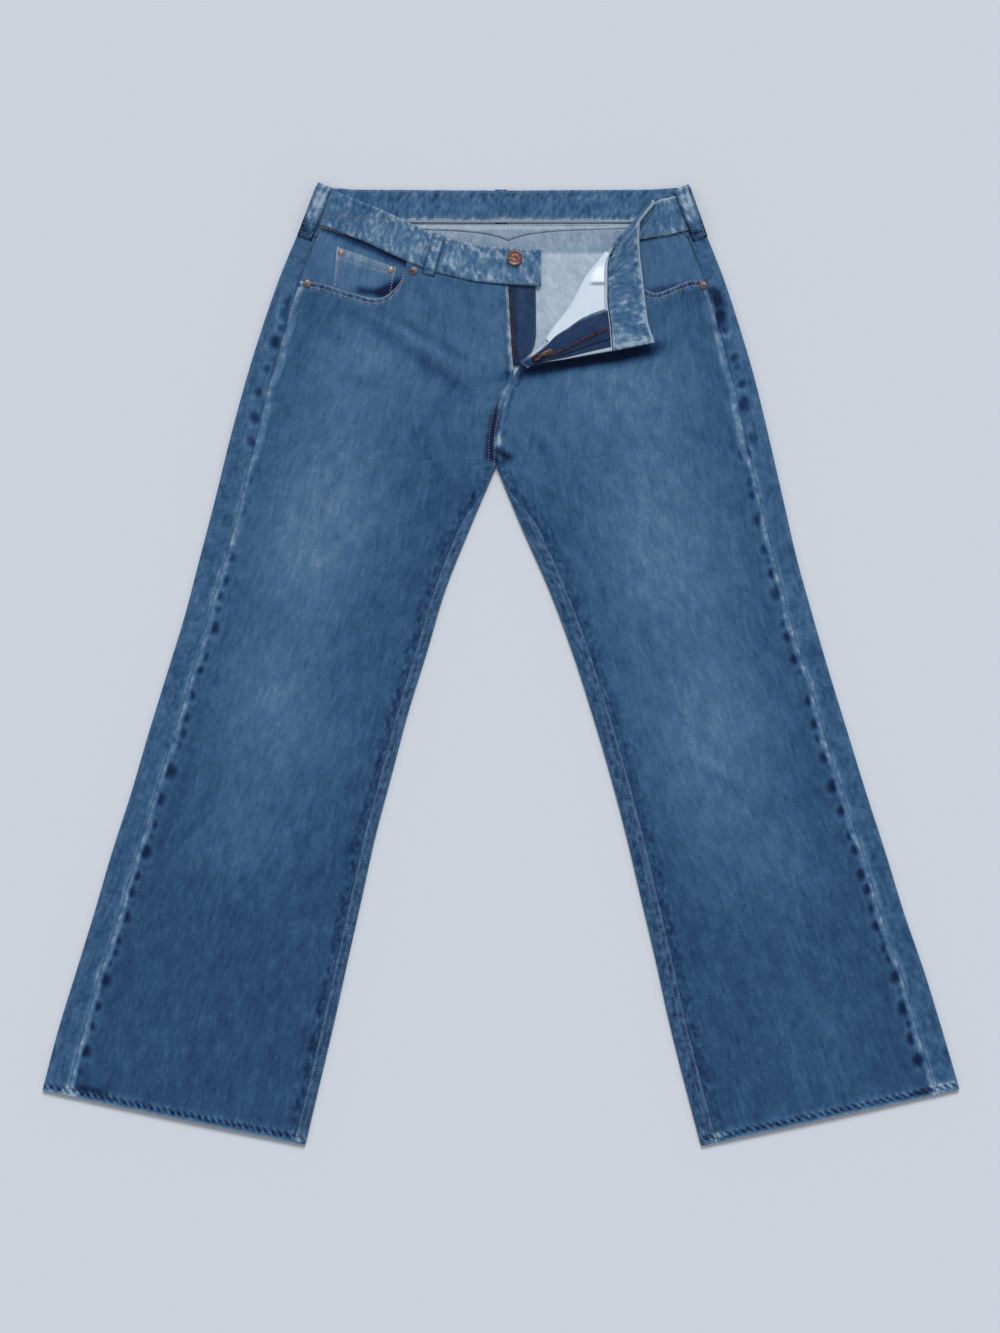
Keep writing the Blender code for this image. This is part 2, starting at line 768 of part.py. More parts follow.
def pocket_facing(side):
    """The hip piece behind a pocket mouth, from the waistband down under the front panel."""
    beside = Section(side, FACING_SIDE_STEP).front_point(0) - Vector((LEG_SIDE[side] * 1.5, 0))
    band, foot = FACINGS[side]
    top = Path(band)
    bottom = Path(foot)
    outer = Path([band[0], beside, foot[0]])
    inner = Path([band[-1], mix(flat(band[-1]), flat(foot[-1]), 0.5), foot[-1]])
    place = patch(top, bottom, outer, inner)
    cloth = Cloth()
    cloth.grid(layer(place, lambda x, y: lift(y) + FACING_Z, DENIM, 4, 4))
    return cloth.build("pocket_facing_" + side, WASHED)


PiecePlan = namedtuple("PiecePlan", "top bottom left right")

COIN_POCKET = PiecePlan(top=[(-180, 459), (-147.5, 447.5), (-115, 436)],
                         bottom=[(-186, 405), (-154, 396), (-121, 399)],
                         left=[(-180, 459), (-183, 432), (-186, 405)],
                         right=[(-115, 436), (-118, 417.5), (-121, 399)])

# The left back pocket. The right one is its mirror image.
BACK_POCKET = PiecePlan(top=[(38, 425), (105, 431), (172, 437)],
                         bottom=[(44, 296), (108, 268), (172, 304)],
                         left=[(38, 425), (41, 360), (44, 296)],
                         right=[(172, 437), (174, 370), (172, 304)])


def coin_pocket():
    cloth = Cloth()
    level = FACING_Z + GAP + DENIM
    place = patch(*[Path(line) for line in COIN_POCKET])
    cloth.grid(layer(place, lambda x, y: lift(y) + level, DENIM, 4, 3))
    return cloth.build("coin_pocket", WASHED)


def back_pocket(side):
    """A five-sided pocket under the seat, flat on the surface."""
    top, bottom, left, right = [[(LEG_SIDE[side] * x, y) for x, y in line] for line in BACK_POCKET]
    cloth = Cloth()
    place = patch(Path(top), Path(bottom, 1), Path(left), Path(right))
    cloth.grid(layer(place, lambda x, y: DENIM, DENIM, 6, 1))
    return cloth.build("back_pocket_" + side, WASHED)


# The fly

FLY_SHIELD = PiecePlan(top=[(-2, 418), (18, 417.5), (38, 417)],
                        bottom=[(5, 330), (15, 328), (25, 329)],
                        left=[(-2, 418), (2, 370), (5, 330)],
                        right=[(38, 417), (38.5, 380), (37, 352), (25, 329)])
TAPE_WIDTH = 7.0


def fly_shield():
    """The doubled strip sewn under the right front's fly edge."""
    cloth = Cloth()
    level = 2 * FOLD_RADIUS - DENIM - GAP
    place = patch(*[Path(line) for line in FLY_SHIELD])
    cloth.grid(layer(place, lambda x, y: lift(y) + level, SHIELD, 3, 8))
    return cloth.build("fly_shield", DARK)


def zip_tape_right():
    """The tape beside the right front's fly edge, on the shield."""
    edge = Path([(x + GAP, y) for x, y in FLY_EDGE])
    far = Path([(x + TAPE_WIDTH, y) for x, y in FLY_EDGE])
    cloth = Cloth()
    lines = []
    rows = 8
    for r in range(rows + 1):
        share = mix(0.01, 0.9, r / rows)
        line = []
        for point in (edge.at(share), far.at(share)):
            low = lift(point.y) + 2 * FOLD_RADIUS - DENIM
            line.append((raised(point, low + TAPE), raised(point, low)))
        lines.append(line)
    cloth.grid(lines)
    return cloth.build("zip_tape_right", TAPE_BLUE)


# Metal trim

def turned(name, outline, look, sides):
    """A solid of revolution about +Z from pairs of radius and height, at the origin."""
    mesh = bmesh.new()
    rings = []
    for radius, height in outline:
        if radius == 0:
            rings.append([mesh.verts.new((0, 0, height * MM))])
            continue
        ring = []
        for k in range(sides):
            angle = 2 * math.pi * k / sides
            ring.append(mesh.verts.new((radius * math.cos(angle) * MM, radius * math.sin(angle) * MM, height * MM)))
        rings.append(ring)
    for a, b in zip(rings, rings[1:]):
        for k in range(sides):
            after = (k + 1) % sides
            if len(a) == 1:
                mesh.faces.new((a[0], b[k], b[after]))
            elif len(b) == 1:
                mesh.faces.new((a[k], b[0], a[after]))
            else:
                mesh.faces.new((a[k], b[k], b[after], a[after]))
    bmesh.ops.recalc_face_normals(mesh, faces=mesh.faces)
    data = bpy.data.meshes.new(name)
    mesh.to_mesh(data)
    mesh.free()
    return add_object(name, data, look)


RIVET = [(0, 0), (4.6, 0), (4.6, 0.5), (3.4, 1.1), (2.0, 1.2), (1.4, 1.7), (0, 1.9)]
COIN_RIVET = [(0, 0), (3.6, 0), (3.6, 0.4), (2.4, 0.9), (0, 1.2)]
BUTTON = [(0, 0), (3.5, 0), (3.5, 1.4), (7.6, 1.6), (8.5, 2.4), (8.3, 3.0), (7.2, 3.4), (6.4, 3.0), (3.0, 2.9), (0, 3.1)]


BUTTON_PLACE = (15, 446)
RivetPlan = namedtuple("RivetPlan", "name x y outline")
RIVETS = [
    RivetPlan("rivet_side_right", -213, 418, RIVET),
    RivetPlan("rivet_front_right", -96, 432, RIVET),
    RivetPlan("rivet_side_left", 222, 416, RIVET),
    RivetPlan("rivet_coin_side", -176, 452, COIN_RIVET),
    RivetPlan("rivet_coin_front", -121, 433, COIN_RIVET),
]


class Ground:
    """Finds how high finished pieces reach under a place, so that trim can lie on them."""

    def __init__(self, pieces):
        bpy.context.view_layer.update()
        graph = bpy.context.evaluated_depsgraph_get()
        self.trees = [BVHTree.FromObject(piece, graph) for piece in pieces]

    def top(self, x, y, reach):
        """Highest point of the pieces within a reach of a place, in millimetres."""
        spots = [(0, 0)] + [(reach * math.cos(k * math.pi / 4), reach * math.sin(k * math.pi / 4)) for k in range(8)]
        best = 0.0
        for dx, dy in spots:
            start = Vector((x + dx, y + dy, ABOVE_ALL)) * MM
            for tree in self.trees:
                hit = tree.ray_cast(start, Vector((0, 0, -1)))[0]
                if hit is not None:
                    best = max(best, hit.z / MM)
        return best


def place_trim(piece, x, y, ground, reach):
    z = ground.top(x, y, reach) + GAP
    piece.data.transform(Matrix.Translation(Vector((x, y, z)) * MM))


LOOP_WIDTH = 13.0
LoopPlan = namedtuple("LoopPlan", "name top_x top_y low_x low_y width arch")

LOOPS = [
    LoopPlan("belt_loop_front_right", -68, 471, -80, 428, 13, 1.6),
    LoopPlan("belt_loop_side_right", -193, 525.9, -216, 468, 17, 1.6),
    LoopPlan("belt_loop_side_left", 198, 524, 219, 467, 17, 1.6),
]


def belt_loop(plan, ground):
    """A loop laid over the waistband, sewn down at both ends and arched between them."""
    top = Vector((plan.top_x, plan.top_y))
    low = Vector((plan.low_x, plan.low_y))
    side = side_step(top - low) * plan.width / 2
    steps = 14
    reach = 1.1 * (top - low).length / steps
    rows = []
    for k in range(steps + 1):
        share = k / steps
        centre = mix(low, top, share)
        z = max(ground.top(*(centre + side * j / 2), reach) for j in (-2, -1, 0, 1, 2)) + GAP
        z += plan.arch * math.sin(math.pi * share)
        rows.append([(raised(centre - side, z + LOOP), raised(centre - side, z)),
                     (raised(centre + side, z + LOOP), raised(centre + side, z))])
    cloth = Cloth()
    cloth.grid(rows)
    return cloth.build(plan.name, WASHED)


def back_loop():
    """The plain loop under the waistband at the centre back."""
    half = LOOP_WIDTH / 2
    rows = [[(Vector((x, y, LOOP)), Vector((x, y, 0))) for x in (-half, half)] for y in (476, 500, 522)]
    cloth = Cloth()
    cloth.grid(rows)
    return cloth.build("belt_loop_back", WASHED)


def folded_loop():
    """The loop on the outer face of the waistband's folded end, which hides it."""
    row = BAND_STRIP[2]
    after = BAND_STRIP[3]
    strip_z = BAND_FRONT_Z + 2 * BAND_CREASE_RADIUS
    low_z = strip_z + corner_rise(strip_share(row), 0)
    top = Vector((row.top_x, row.top_y, low_z + row.tilt))
    low = Vector((row.low_x, row.low_y, low_z))
    travel = (Vector((after.top_x + after.low_x, after.top_y + after.low_y, 0))
              - Vector((row.top_x + row.low_x, row.top_y + row.low_y, 0))).normalized()
    down = (top - low).cross(travel).normalized()
    down *= -1 if down.z > 0 else 1
    near = BAND / 2 + 2 * GAP
    rows = []
    for share in (0.04, 0.96):
        centre = mix(low, top, share) + travel * LOOP_WIDTH * 0.6
        rows.append([(centre + travel * step + down * near, centre + travel * step + down * (near + LOOP))
                     for step in (-LOOP_WIDTH / 2, LOOP_WIDTH / 2)])
    cloth = Cloth()
    cloth.grid(rows)
    return cloth.build("belt_loop_front_left", WASHED)


SLIDER_LENGTH = 9.0
SLIDER_WIDTH = 7.0
SLIDER_BODY = 2.4
LUG_WIDTH = 0.9
LUG_HEIGHT = 2.2
KNUCKLE_RADIUS = 0.8
PULL_REST_TILT = 12.0


def zip_slider(frame):
    """The slider: a channel section run along its length, with a lug on each side."""
    half = SLIDER_WIDTH / 2
    top = SLIDER_BODY + LUG_HEIGHT
    section = [(-half, 0), (half, 0), (half, SLIDER_BODY), (2.9, SLIDER_BODY), (2.9, top), (2.0, top),
               (2.0, SLIDER_BODY), (-2.0, SLIDER_BODY), (-2.0, top), (-2.9, top), (-2.9, SLIDER_BODY),
               (-half, SLIDER_BODY)]
    mesh = bmesh.new()
    face = mesh.faces.new([mesh.verts.new((-SLIDER_LENGTH / 2 * MM, y * MM, z * MM)) for y, z in section])
    grown = bmesh.ops.extrude_face_region(mesh, geom=[face])
    ends = [item for item in grown["geom"] if isinstance(item, bmesh.types.BMVert)]
    bmesh.ops.translate(mesh, verts=ends, vec=(SLIDER_LENGTH * MM, 0, 0))
    bmesh.ops.recalc_face_normals(mesh, faces=mesh.faces)
    data = bpy.data.meshes.new("zip_slider")
    mesh.to_mesh(data)
    mesh.free()
    data.transform(frame)
    return add_object("zip_slider", data, COPPER)


HINGE_FROM_FRONT = 1.6


def zip_pull(frame):
    """The pull tab, hinged between the slider's lugs, with its origin on the hinge's axis."""
    arm = 1.7
    outline = [(-0.7, -arm), (3.6, -arm), (4.4, -2.6), (14.5, -3.0), (16.0, -2.0), (16.0, 2.0), (14.5, 3.0),
               (4.4, 2.6), (3.6, arm), (-0.7, arm)]
    thick = 1.0
    mesh = bmesh.new()
    face = mesh.faces.new([mesh.verts.new((x * MM, y * MM, -thick / 2 * MM)) for x, y in outline])
    grown = bmesh.ops.extrude_face_region(mesh, geom=[face])
    ends = [item for item in grown["geom"] if isinstance(item, bmesh.types.BMVert)]
    bmesh.ops.translate(mesh, verts=ends, vec=(0, 0, thick * MM))
    bmesh.ops.recalc_face_normals(mesh, faces=mesh.faces)
    data = bpy.data.meshes.new("zip_pull")
    mesh.to_mesh(data)
    mesh.free()
    piece = add_object("zip_pull", data, COPPER)
    hinge = Vector((SLIDER_LENGTH / 2 - HINGE_FROM_FRONT, 0, SLIDER_BODY + GAP + KNUCKLE_RADIUS)) * MM
    tilt = Matrix.Rotation(math.radians(PULL_REST_TILT), 4, "Y")
    piece.matrix_world = frame @ Matrix.Translation(hinge) @ tilt
    return piece


def slider_frame(corner):
    """Where the slider lies on the left zip tape, pointing up along the teeth."""
    here = corner.flap(0.50, 0.86, 0)
    ahead = corner.flap(0.66, 0.60, 0)
    x_axis = (ahead - here).normalized()
    y_axis = Vector((0, 0, 1)).cross(x_axis).normalized()
    z_axis = x_axis.cross(y_axis)
    stack = DENIM / 2 + GAP + DENIM + GAP + TAPE + GAP + 0.5
    spot = (here + z_axis * stack) * MM
    rotation = Matrix((x_axis, y_axis, z_axis)).transposed().to_4x4()
    return Matrix.Translation(spot) @ rotation


def remove_all():
    for thing in list(bpy.data.objects):
        bpy.data.objects.remove(thing, do_unlink=True)


def main():
    remove_all()
    backs = [back_panel(side) for side in ("right", "left")]
    for side in ("right", "left"):
        yoke(side)
        pocket_facing(side)
        back_pocket(side)
    band = ribbon("waistband", band_lines(), BAND, WASHED)
    coin = coin_pocket()
    right = front_right()
    corner = Corner()
    left = front_left(corner)
    low = DENIM / 2 + GAP
    on_corner("fly_facing", corner, low, DENIM, facing_line, lambda down: 0.985, 0.012, 0.86, 4, 8, DARK)
    on_corner("zip_tape_left", corner, low + DENIM + GAP, TAPE, lambda down: 0.78, lambda down: 0.88,
              0.02, 0.84, 1, 8, TAPE_BLUE)
    pocket_bag(corner)
    fly_shield()
    zip_tape_right()
    ground = Ground([band, right, left, coin] + backs)
    for plan in LOOPS:
        belt_loop(plan, ground)
    back_loop()
    folded_loop()
    place_trim(turned("waist_button", BUTTON, COPPER, 28), *BUTTON_PLACE, ground, BUTTON[1][0])
    for plan in RIVETS:
        place_trim(turned(plan.name, plan.outline, COPPER, 20), plan.x, plan.y, ground, plan.outline[1][0])
    frame = slider_frame(corner)
    zip_slider(frame)
    zip_pull(frame)


main()
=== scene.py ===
# %% [markdown]
# # A pair of bootcut jeans, laid flat
#
# The jeans lie on their back on a pale floor, legs apart, fly open, with one front corner folded outward.
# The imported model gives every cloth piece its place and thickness. This script dresses it: each piece of
# cloth becomes a fine shell on the same form, with its creases, puckers, stitches and wear. Lengths in
# the tables are millimetres, +Y runs from the hems to the waist, and +Z is up.

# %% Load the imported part
import functools
import math
import random
from collections import namedtuple

import bmesh
import bpy
from mathutils import Matrix, Vector, noise
from mathutils.bvhtree import BVHTree


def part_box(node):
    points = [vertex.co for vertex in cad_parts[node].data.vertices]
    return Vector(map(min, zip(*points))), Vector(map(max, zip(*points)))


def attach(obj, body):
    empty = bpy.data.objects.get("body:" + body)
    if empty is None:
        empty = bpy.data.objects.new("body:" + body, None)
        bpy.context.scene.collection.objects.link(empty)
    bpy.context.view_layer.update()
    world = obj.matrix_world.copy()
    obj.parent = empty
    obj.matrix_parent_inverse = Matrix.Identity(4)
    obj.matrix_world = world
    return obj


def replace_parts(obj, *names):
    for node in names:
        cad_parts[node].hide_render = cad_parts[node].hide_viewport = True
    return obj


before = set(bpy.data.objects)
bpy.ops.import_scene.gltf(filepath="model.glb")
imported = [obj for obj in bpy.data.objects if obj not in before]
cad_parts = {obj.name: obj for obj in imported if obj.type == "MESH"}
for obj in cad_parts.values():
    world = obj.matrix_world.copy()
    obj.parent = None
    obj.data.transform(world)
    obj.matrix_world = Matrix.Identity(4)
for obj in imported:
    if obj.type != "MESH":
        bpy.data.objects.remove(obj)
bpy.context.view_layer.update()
MM = 0.001

# %% [markdown]
# ## Camera, floor and light
#
# The picture was taken from straight above. A long lens at four metres keeps the hems and the waist at
# one scale. Soft daylight comes mainly from beyond the waist, so shadows fall towards the hems. A sun
# lamp with a wide disc gives that, and a bright world fills the rest, as white studio walls do.

# %% Camera, floor and light
PIXEL_MM = 1.10
FRAME_PIXELS = 1333
PICTURE_CENTRE = (-1.1, -2.5)
LENS_MM = 110.0
SENSOR_MM = 36.0
DAYLIGHT_FROM = Vector((0.10, 0.85, 0.95))
DAYLIGHT_COLOUR = (1.0, 0.99, 0.98)
DAYLIGHT_STRENGTH = 2.1
DAYLIGHT_DISC = math.radians(24)
STUDIO_COLOUR = (0.92, 0.96, 1.0, 1.0)
STUDIO_STRENGTH = 0.47
PAPER_COLOUR = (0.655, 0.69, 0.75, 1.0)
FLOOR_HALF_SIZE = 6.0
FLOOR_DROP = 0.0002

scene = bpy.context.scene


def add_object(name, data):
    made = bpy.data.objects.new(name, data)
    scene.collection.objects.link(made)
    return made


def add_mesh(name, mesh, looks):
    """Turn a bmesh into an object with its materials."""
    data = bpy.data.meshes.new(name)
    mesh.to_mesh(data)
    mesh.free()
    for look in looks:
        data.materials.append(look)
    return add_object(name, data)


camera_data = bpy.data.cameras.new("camera")
camera_data.lens = LENS_MM
camera_data.sensor_width = SENSOR_MM
camera_height = PIXEL_MM * FRAME_PIXELS * LENS_MM / SENSOR_MM
scene.camera = add_object("camera", camera_data)
scene.camera.location = Vector((*PICTURE_CENTRE, camera_height)) * MM

daylight = bpy.data.lights.new("window_light", "SUN")
daylight.energy = DAYLIGHT_STRENGTH
daylight.angle = DAYLIGHT_DISC
daylight.color = DAYLIGHT_COLOUR
add_object("window_light", daylight).rotation_euler = DAYLIGHT_FROM.to_track_quat("Z", "Y").to_euler()
scene.world = bpy.data.worlds.new("studio")
scene.world.use_nodes = True
studio = scene.world.node_tree.nodes["Background"].inputs
studio["Color"].default_value = STUDIO_COLOUR
studio["Strength"].default_value = STUDIO_STRENGTH
scene.view_settings.view_transform = "Standard"

paper = bpy.data.materials.new("backdrop_paper")
paper.use_nodes = True
paper_inputs = paper.node_tree.nodes["Principled BSDF"].inputs
paper_inputs["Base Color"].default_value = PAPER_COLOUR
paper_inputs["Roughness"].default_value = 0.95
paper_inputs["Specular IOR Level"].default_value = 0.0
floor_mesh = bmesh.new()
bmesh.ops.create_grid(floor_mesh, x_segments=4, y_segments=4, size=FLOOR_HALF_SIZE)
floor = add_mesh("floor", floor_mesh, [paper])
floor.location.z = -FLOOR_DROP
print("camera height", round(camera_height), "mm")

# %% [markdown]
# ## Lines and smooth steps
#
# A pattern cutter draws each edge as a smooth line through a few points. `Path` does the same, and reads
# the line by its share of the length. `patch` fills four such lines, as cloth fills the seams round a
# panel.

# %% Lines and smooth steps


def smooth(share):
    """Go from 0 to 1 with level ends."""
    share = min(max(share, 0.0), 1.0)
    return share * share * (3.0 - 2.0 * share)


def mix(a, b, share):
    return a + (b - a) * share


def hump(distance, width):
    """1 at the middle, falling smoothly to nothing over a width."""
    return math.exp(-(distance / width) ** 2)


def flat(point):
    return Vector((point[0], point[1]))


def raised(point, z):
    return Vector((point[0], point[1], z))


def side_step(direction):
    """Turn a plan direction a quarter turn clockwise."""
    return Vector((direction.y, -direction.x)).normalized()


def curve(a, b, c, d, part):
    """A value or point between b and c, on the smooth curve through four of them."""
    bend = 2 * a - 5 * b + 4 * c - d
    twist = -a + 3 * b - 3 * c + d
    return (2 * b + (c - a) * part + bend * part ** 2 + twist * part ** 3) / 2


def cloud(x, y, seed):
    """Soft unevenness round 0, always the same at the same place."""
    return noise.noise(Vector((x, y, seed)))


class Path:
    """A smooth plan line through a few points, read by its share of the length."""

    def __init__(self, points, steps=12):
        knots = [flat(p) for p in points]
        padded = [knots[0] * 2 - knots[1]] + knots + [knots[-1] * 2 - knots[-2]]
        self.points = []
        for k in range(len(knots) - 1):
            for j in range(steps):
                self.points.append(curve(*padded[k:k + 4], j / steps))
        self.points.append(knots[-1])
        self.reach = [0.0]
        for a, b in zip(self.points, self.points[1:]):
            self.reach.append(self.reach[-1] + (b - a).length)
        self.length = self.reach[-1]

    def at(self, share):
        want = min(max(share, 0.0), 1.0) * self.length
        for k in range(1, len(self.reach)):
            if self.reach[k] >= want:
                span = self.reach[k] - self.reach[k - 1]
                part = (want - self.reach[k - 1]) / span if span else 0.0
                return self.points[k - 1].lerp(self.points[k], part)
        return self.points[-1].copy()

    def along(self, share):
        return (self.at(share + 0.01) - self.at(share - 0.01)).normalized()

    def shifted(self, distance):
        """The same line moved to its right-hand side by a distance."""
        count = 24
        shares = [k / count for k in range(count + 1)]
        return Path([self.at(s) + side_step(self.along(s)) * distance for s in shares], 2)


class Joined:
    """Two lines end to end, with a sharp corner between them at a chosen share."""

    def __init__(self, first, second, corner_share):
        self.first = first
        self.second = second
        self.corner_share = corner_share

    def at(self, share):
        if share <= self.corner_share:
            return self.first.at(share / self.corner_share)
        return self.second.at((share - self.corner_share) / (1 - self.corner_share))


def patch(top, bottom, left, right):
    """Fill four lines that meet at their ends: u runs from left to right and v from top to bottom."""
    corners = [top.at(0), top.at(1), bottom.at(0), bottom.at(1)]

    def place(u, v):
        across = mix(top.at(u), bottom.at(u), v)
        down = mix(left.at(v), right.at(v), u)
        flat_top = mix(corners[0], corners[1], u)
        flat_bottom = mix(corners[2], corners[3], u)
        return across + down - mix(flat_top, flat_bottom, v)

    return place


# %% [markdown]
# ## The legs in sections
#
# Each row of the tables is one cut across a leg, from its outer edge to its inner edge, with how far the
# back panel comes round on to the front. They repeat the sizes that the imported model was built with, so
# that the dressed cloth lies where the solid cloth lies.

# %% Leg tables
DENIM = 1.1
BAND = 2.8
GAP = 0.3
FOLD_RADIUS = 2.4
HEM_FOLD_RADIUS = 2.8
SEAT_LIFT = 1.4
LIFT_FULL_Y = 258.0
LIFT_NONE_Y = 110.0
LOFT = 1.0
MOUTH_LIFT = 1.9
HALF_SEAM = GAP / 2
CREASE_RADIUS = 3.0
BAND_CREASE_RADIUS = 2.6
BAND_BACK_Z = 2.9
BAND_FRONT_Z = 6.6
CORNER_RISE = 10.5
BAG_CLEAR = 0.6
STRIP_SEAM = 1.1
CROTCH = 5
INSEAM_OPENS = 20.0
INSEAM_FLAT = 60.0
HEM_TURN_ROWS = 0.30

LegRow = namedtuple("LegRow", "outer_x outer_y inner_x inner_y wrap")
LEG_TABLES = {
    "right": [
        (-219, 484, 8, 484, 20), (-225, 469, 8, 465, 21), (-244, 423, 7, 412, 22), (-263, 368, 3, 351, 24),
        (-280, 313, -1, 291, 26), (-298, 247, -5, 218, 27), (-314, 182, -34, 150, 28),
        (-331, 117, -61, 82, 27), (-348, 52, -81, 15, 26), (-368, -13, -102, -53, 27),
        (-388, -78, -120, -121, 27), (-407, -143, -138, -189, 26), (-428, -208, -153, -257, 27),
        (-447, -273, -168, -324, 27), (-467, -338, -183, -392, 26), (-487, -403, -199, -460, 27),
        (-504, -468, -215, -528, 28),
    ],
    "left": [
        (222, 484, 8, 484, 20), (227, 469, 8, 465, 21), (245, 423, 7, 412, 21), (263, 368, 3, 351, 22),
        (279, 313, -1, 291, 24), (295, 247, -5, 218, 25), (310, 182, 23, 150, 25), (325, 117, 53, 82, 24),
        (343, 52, 78, 15, 25), (362, -13, 100, -53, 24), (382, -78, 120, -121, 25),
        (402, -143, 138, -189, 25), (423, -208, 154, -257, 24), (443, -273, 170, -325, 25),
        (465, -337, 185, -393, 25), (485, -402, 202, -461, 26), (504, -467, 220, -529, 26),
    ],
}
LEG_ROWS = {side: [LegRow(*row) for row in rows] for side, rows in LEG_TABLES.items()}
HEM = len(LEG_ROWS["right"]) - 1
INSEAM_WRAP = {"right": 12.0, "left": 18.0}
LEG_SIDE = {"right": -1.0, "left": 1.0}
YOKE_BOW = 11.0
YOKE_BOW_START = 25.0
YOKE_BOW_END = 130.0
YOKE_TOP = {"right": (480.8, 482.5), "left": (474.0, 479.0)}

Fold = namedtuple("Fold", "x y lean length width height")


def folds(*rows):
    """Folds or patches: place, lean in degrees clockwise from +Y, length, width, and height or strength."""
    return [Fold(*row) for row in rows]


FOLDS = folds(
    (-22, 262, -6, 70, 16, -1.0), (16, 222, 8, 60, 14, -0.9), (-120, 250, 62, 190, 34, 0.9),
    (-150, 190, 58, 170, 30, -0.7), (130, 235, -58, 180, 32, 0.9), (165, 170, -55, 160, 30, -0.7),
    (-225, -30, 20, 230, 60, 0.9), (225, -20, -20, 240, 60, 0.9), (-300, -330, 14, 260, 55, 0.8),
    (315, -320, -14, 260, 55, 0.8),
)

# Smaller creases than the solid cloth has.
CREASES = folds(
    (-100, 342, -55, 160, 20, -1.5), (-66, 320, -52, 70, 24, -0.4), (-80, 359, -61, 135, 13, -1.0),
    (-88, 352, -57, 130, 10, 0.5), (-148, 307, -77, 90, 12, -0.5), (-120, 322, -58, 120, 14, 0.5),
    (-70, 215, -40, 110, 16, -0.4), (-205, 268, 70, 90, 16, 0.35), (-186, 120, 48, 130, 22, 0.35),
    (-245, 60, 36, 120, 22, -0.3), (-215, -95, 62, 120, 16, 0.4), (-262, -118, 55, 90, 14, -0.3),
    (-330, -205, 40, 110, 20, 0.35), (-280, -260, 28, 140, 20, -0.3), (-350, -400, 20, 120, 18, 0.35),
    (43, 237, -38, 75, 14, -0.9), (55, 246, -40, 60, 10, 0.5), (118, 306, -78, 70, 9, -0.4),
    (95, 262, -55, 100, 14, -0.4), (150, 300, -64, 110, 14, 0.35), (215, 250, -70, 90, 14, -0.3),
    (60, 190, -58, 110, 14, 0.35), (150, 90, -46, 140, 22, 0.35), (230, 110, -38, 120, 20, -0.3),
    (225, -105, -60, 110, 16, 0.4), (270, -150, -50, 100, 16, -0.3), (330, -230, -32, 130, 20, 0.35),
    (290, -300, -24, 140, 18, -0.3), (360, -410, -18, 110, 18, 0.35),
)


def fold_sum(rows, x, y):
    """The height or strength that all folds of a table add at a place."""
    total = 0.0
    for fold in rows:
        dx = x - fold.x
        dy = y - fold.y
        if abs(dx) + abs(dy) > fold.length + fold.width:
            continue
        turn = math.radians(fold.lean)
        along = (dx * math.sin(turn) + dy * math.cos(turn)) / (fold.length / 2)
        across = (dx * math.cos(turn) - dy * math.sin(turn)) / (fold.width / 2)
        total += fold.height * math.exp(-1.5 * (along ** 4 + across ** 2))
    return total


def lift(y):
    """How far the seat stands off the surface, on its back pockets."""
    return SEAT_LIFT * smooth((y - LIFT_NONE_Y) / (LIFT_FULL_Y - LIFT_NONE_Y))


# %% One section
def curve_values(table, k, part, first, last):
    """Values between rows k and k + 1 of a table, on a smooth curve through the first to last rows."""
    rows = [table[min(max(k + j, first), last)] for j in (-1, 0, 1, 2)]
    return [curve(*column, part) for column in zip(*rows)]


class Section:
    """One cut across a leg or half of the hips, from the outer edge to the inner one."""

    def __init__(self, side, row):
        table = LEG_ROWS[side]
        k = min(int(row), HEM - 1)
        part = row - k
        outer = [(r.outer_x, r.outer_y, r.wrap) for r in table]
        outer_x, outer_y, self.wrap = curve_values(outer, k, part, 0, HEM)
        first, last = (0, CROTCH) if k < CROTCH else (CROTCH, HEM)
        inner_x, inner_y = curve_values([(r.inner_x, r.inner_y) for r in table], k, part, first, last)
        self.outer = Vector((outer_x, outer_y))
        self.inner = Vector((inner_x, inner_y))
        if row <= CROTCH:
            self.inner.x += LEG_SIDE[side] * HALF_SEAM
        self.width = (self.inner - self.outer).length
        self.across = (self.inner - self.outer) / self.width
        self.bow = max(1 - abs(row - 1), 0)
        crotch = Vector(table[CROTCH][2:4])
        below = (self.inner - crotch).length * (1 if row >= CROTCH else -1)
        bend = mix(60, 180, min(below / INSEAM_OPENS, 1)) if below > 0 else max(60 + 1.5 * below, 0)
        self.bend = math.radians(bend)
        inseam = INSEAM_WRAP[side] - FOLD_RADIUS
        self.inner_flat = max(inseam * smooth((below - INSEAM_OPENS) / INSEAM_FLAT), 0.02)
        at_hem = smooth((row - HEM + HEM_TURN_ROWS) / 0.08)
        self.radius = mix(FOLD_RADIUS, HEM_FOLD_RADIUS, at_hem)
        open_seam = self.radius + self.inner_flat + GAP
        opened = min(max(below, 0) / INSEAM_OPENS, 1)
        self.inner_edge = mix(HALF_SEAM, open_seam, opened) if opened < 1 else open_seam

    def point(self, s, z):
        plan = self.outer + self.across * s
        if self.bow:
            from_centre = max(self.width - s, 0)
            reach = 1 - math.exp(-from_centre / YOKE_BOW_START)
            reach *= 1 - smooth((from_centre - YOKE_BOW_END) / 70)
            plan.y += YOKE_BOW * self.bow * reach
        return raised(plan, z + lift(plan.y))

    def front_point(self, u):
        """Plan place on the front panel, u from the side seam to the inseam."""
        start = self.wrap + GAP
        return self.outer + self.across * mix(start, self.width - self.inner_edge, u)


@functools.lru_cache(maxsize=None)
def section_at(side, row):
    return Section(side, row)


print("legs", {side: round(section_at(side, HEM).width) for side in LEG_ROWS}, "mm at the hem")

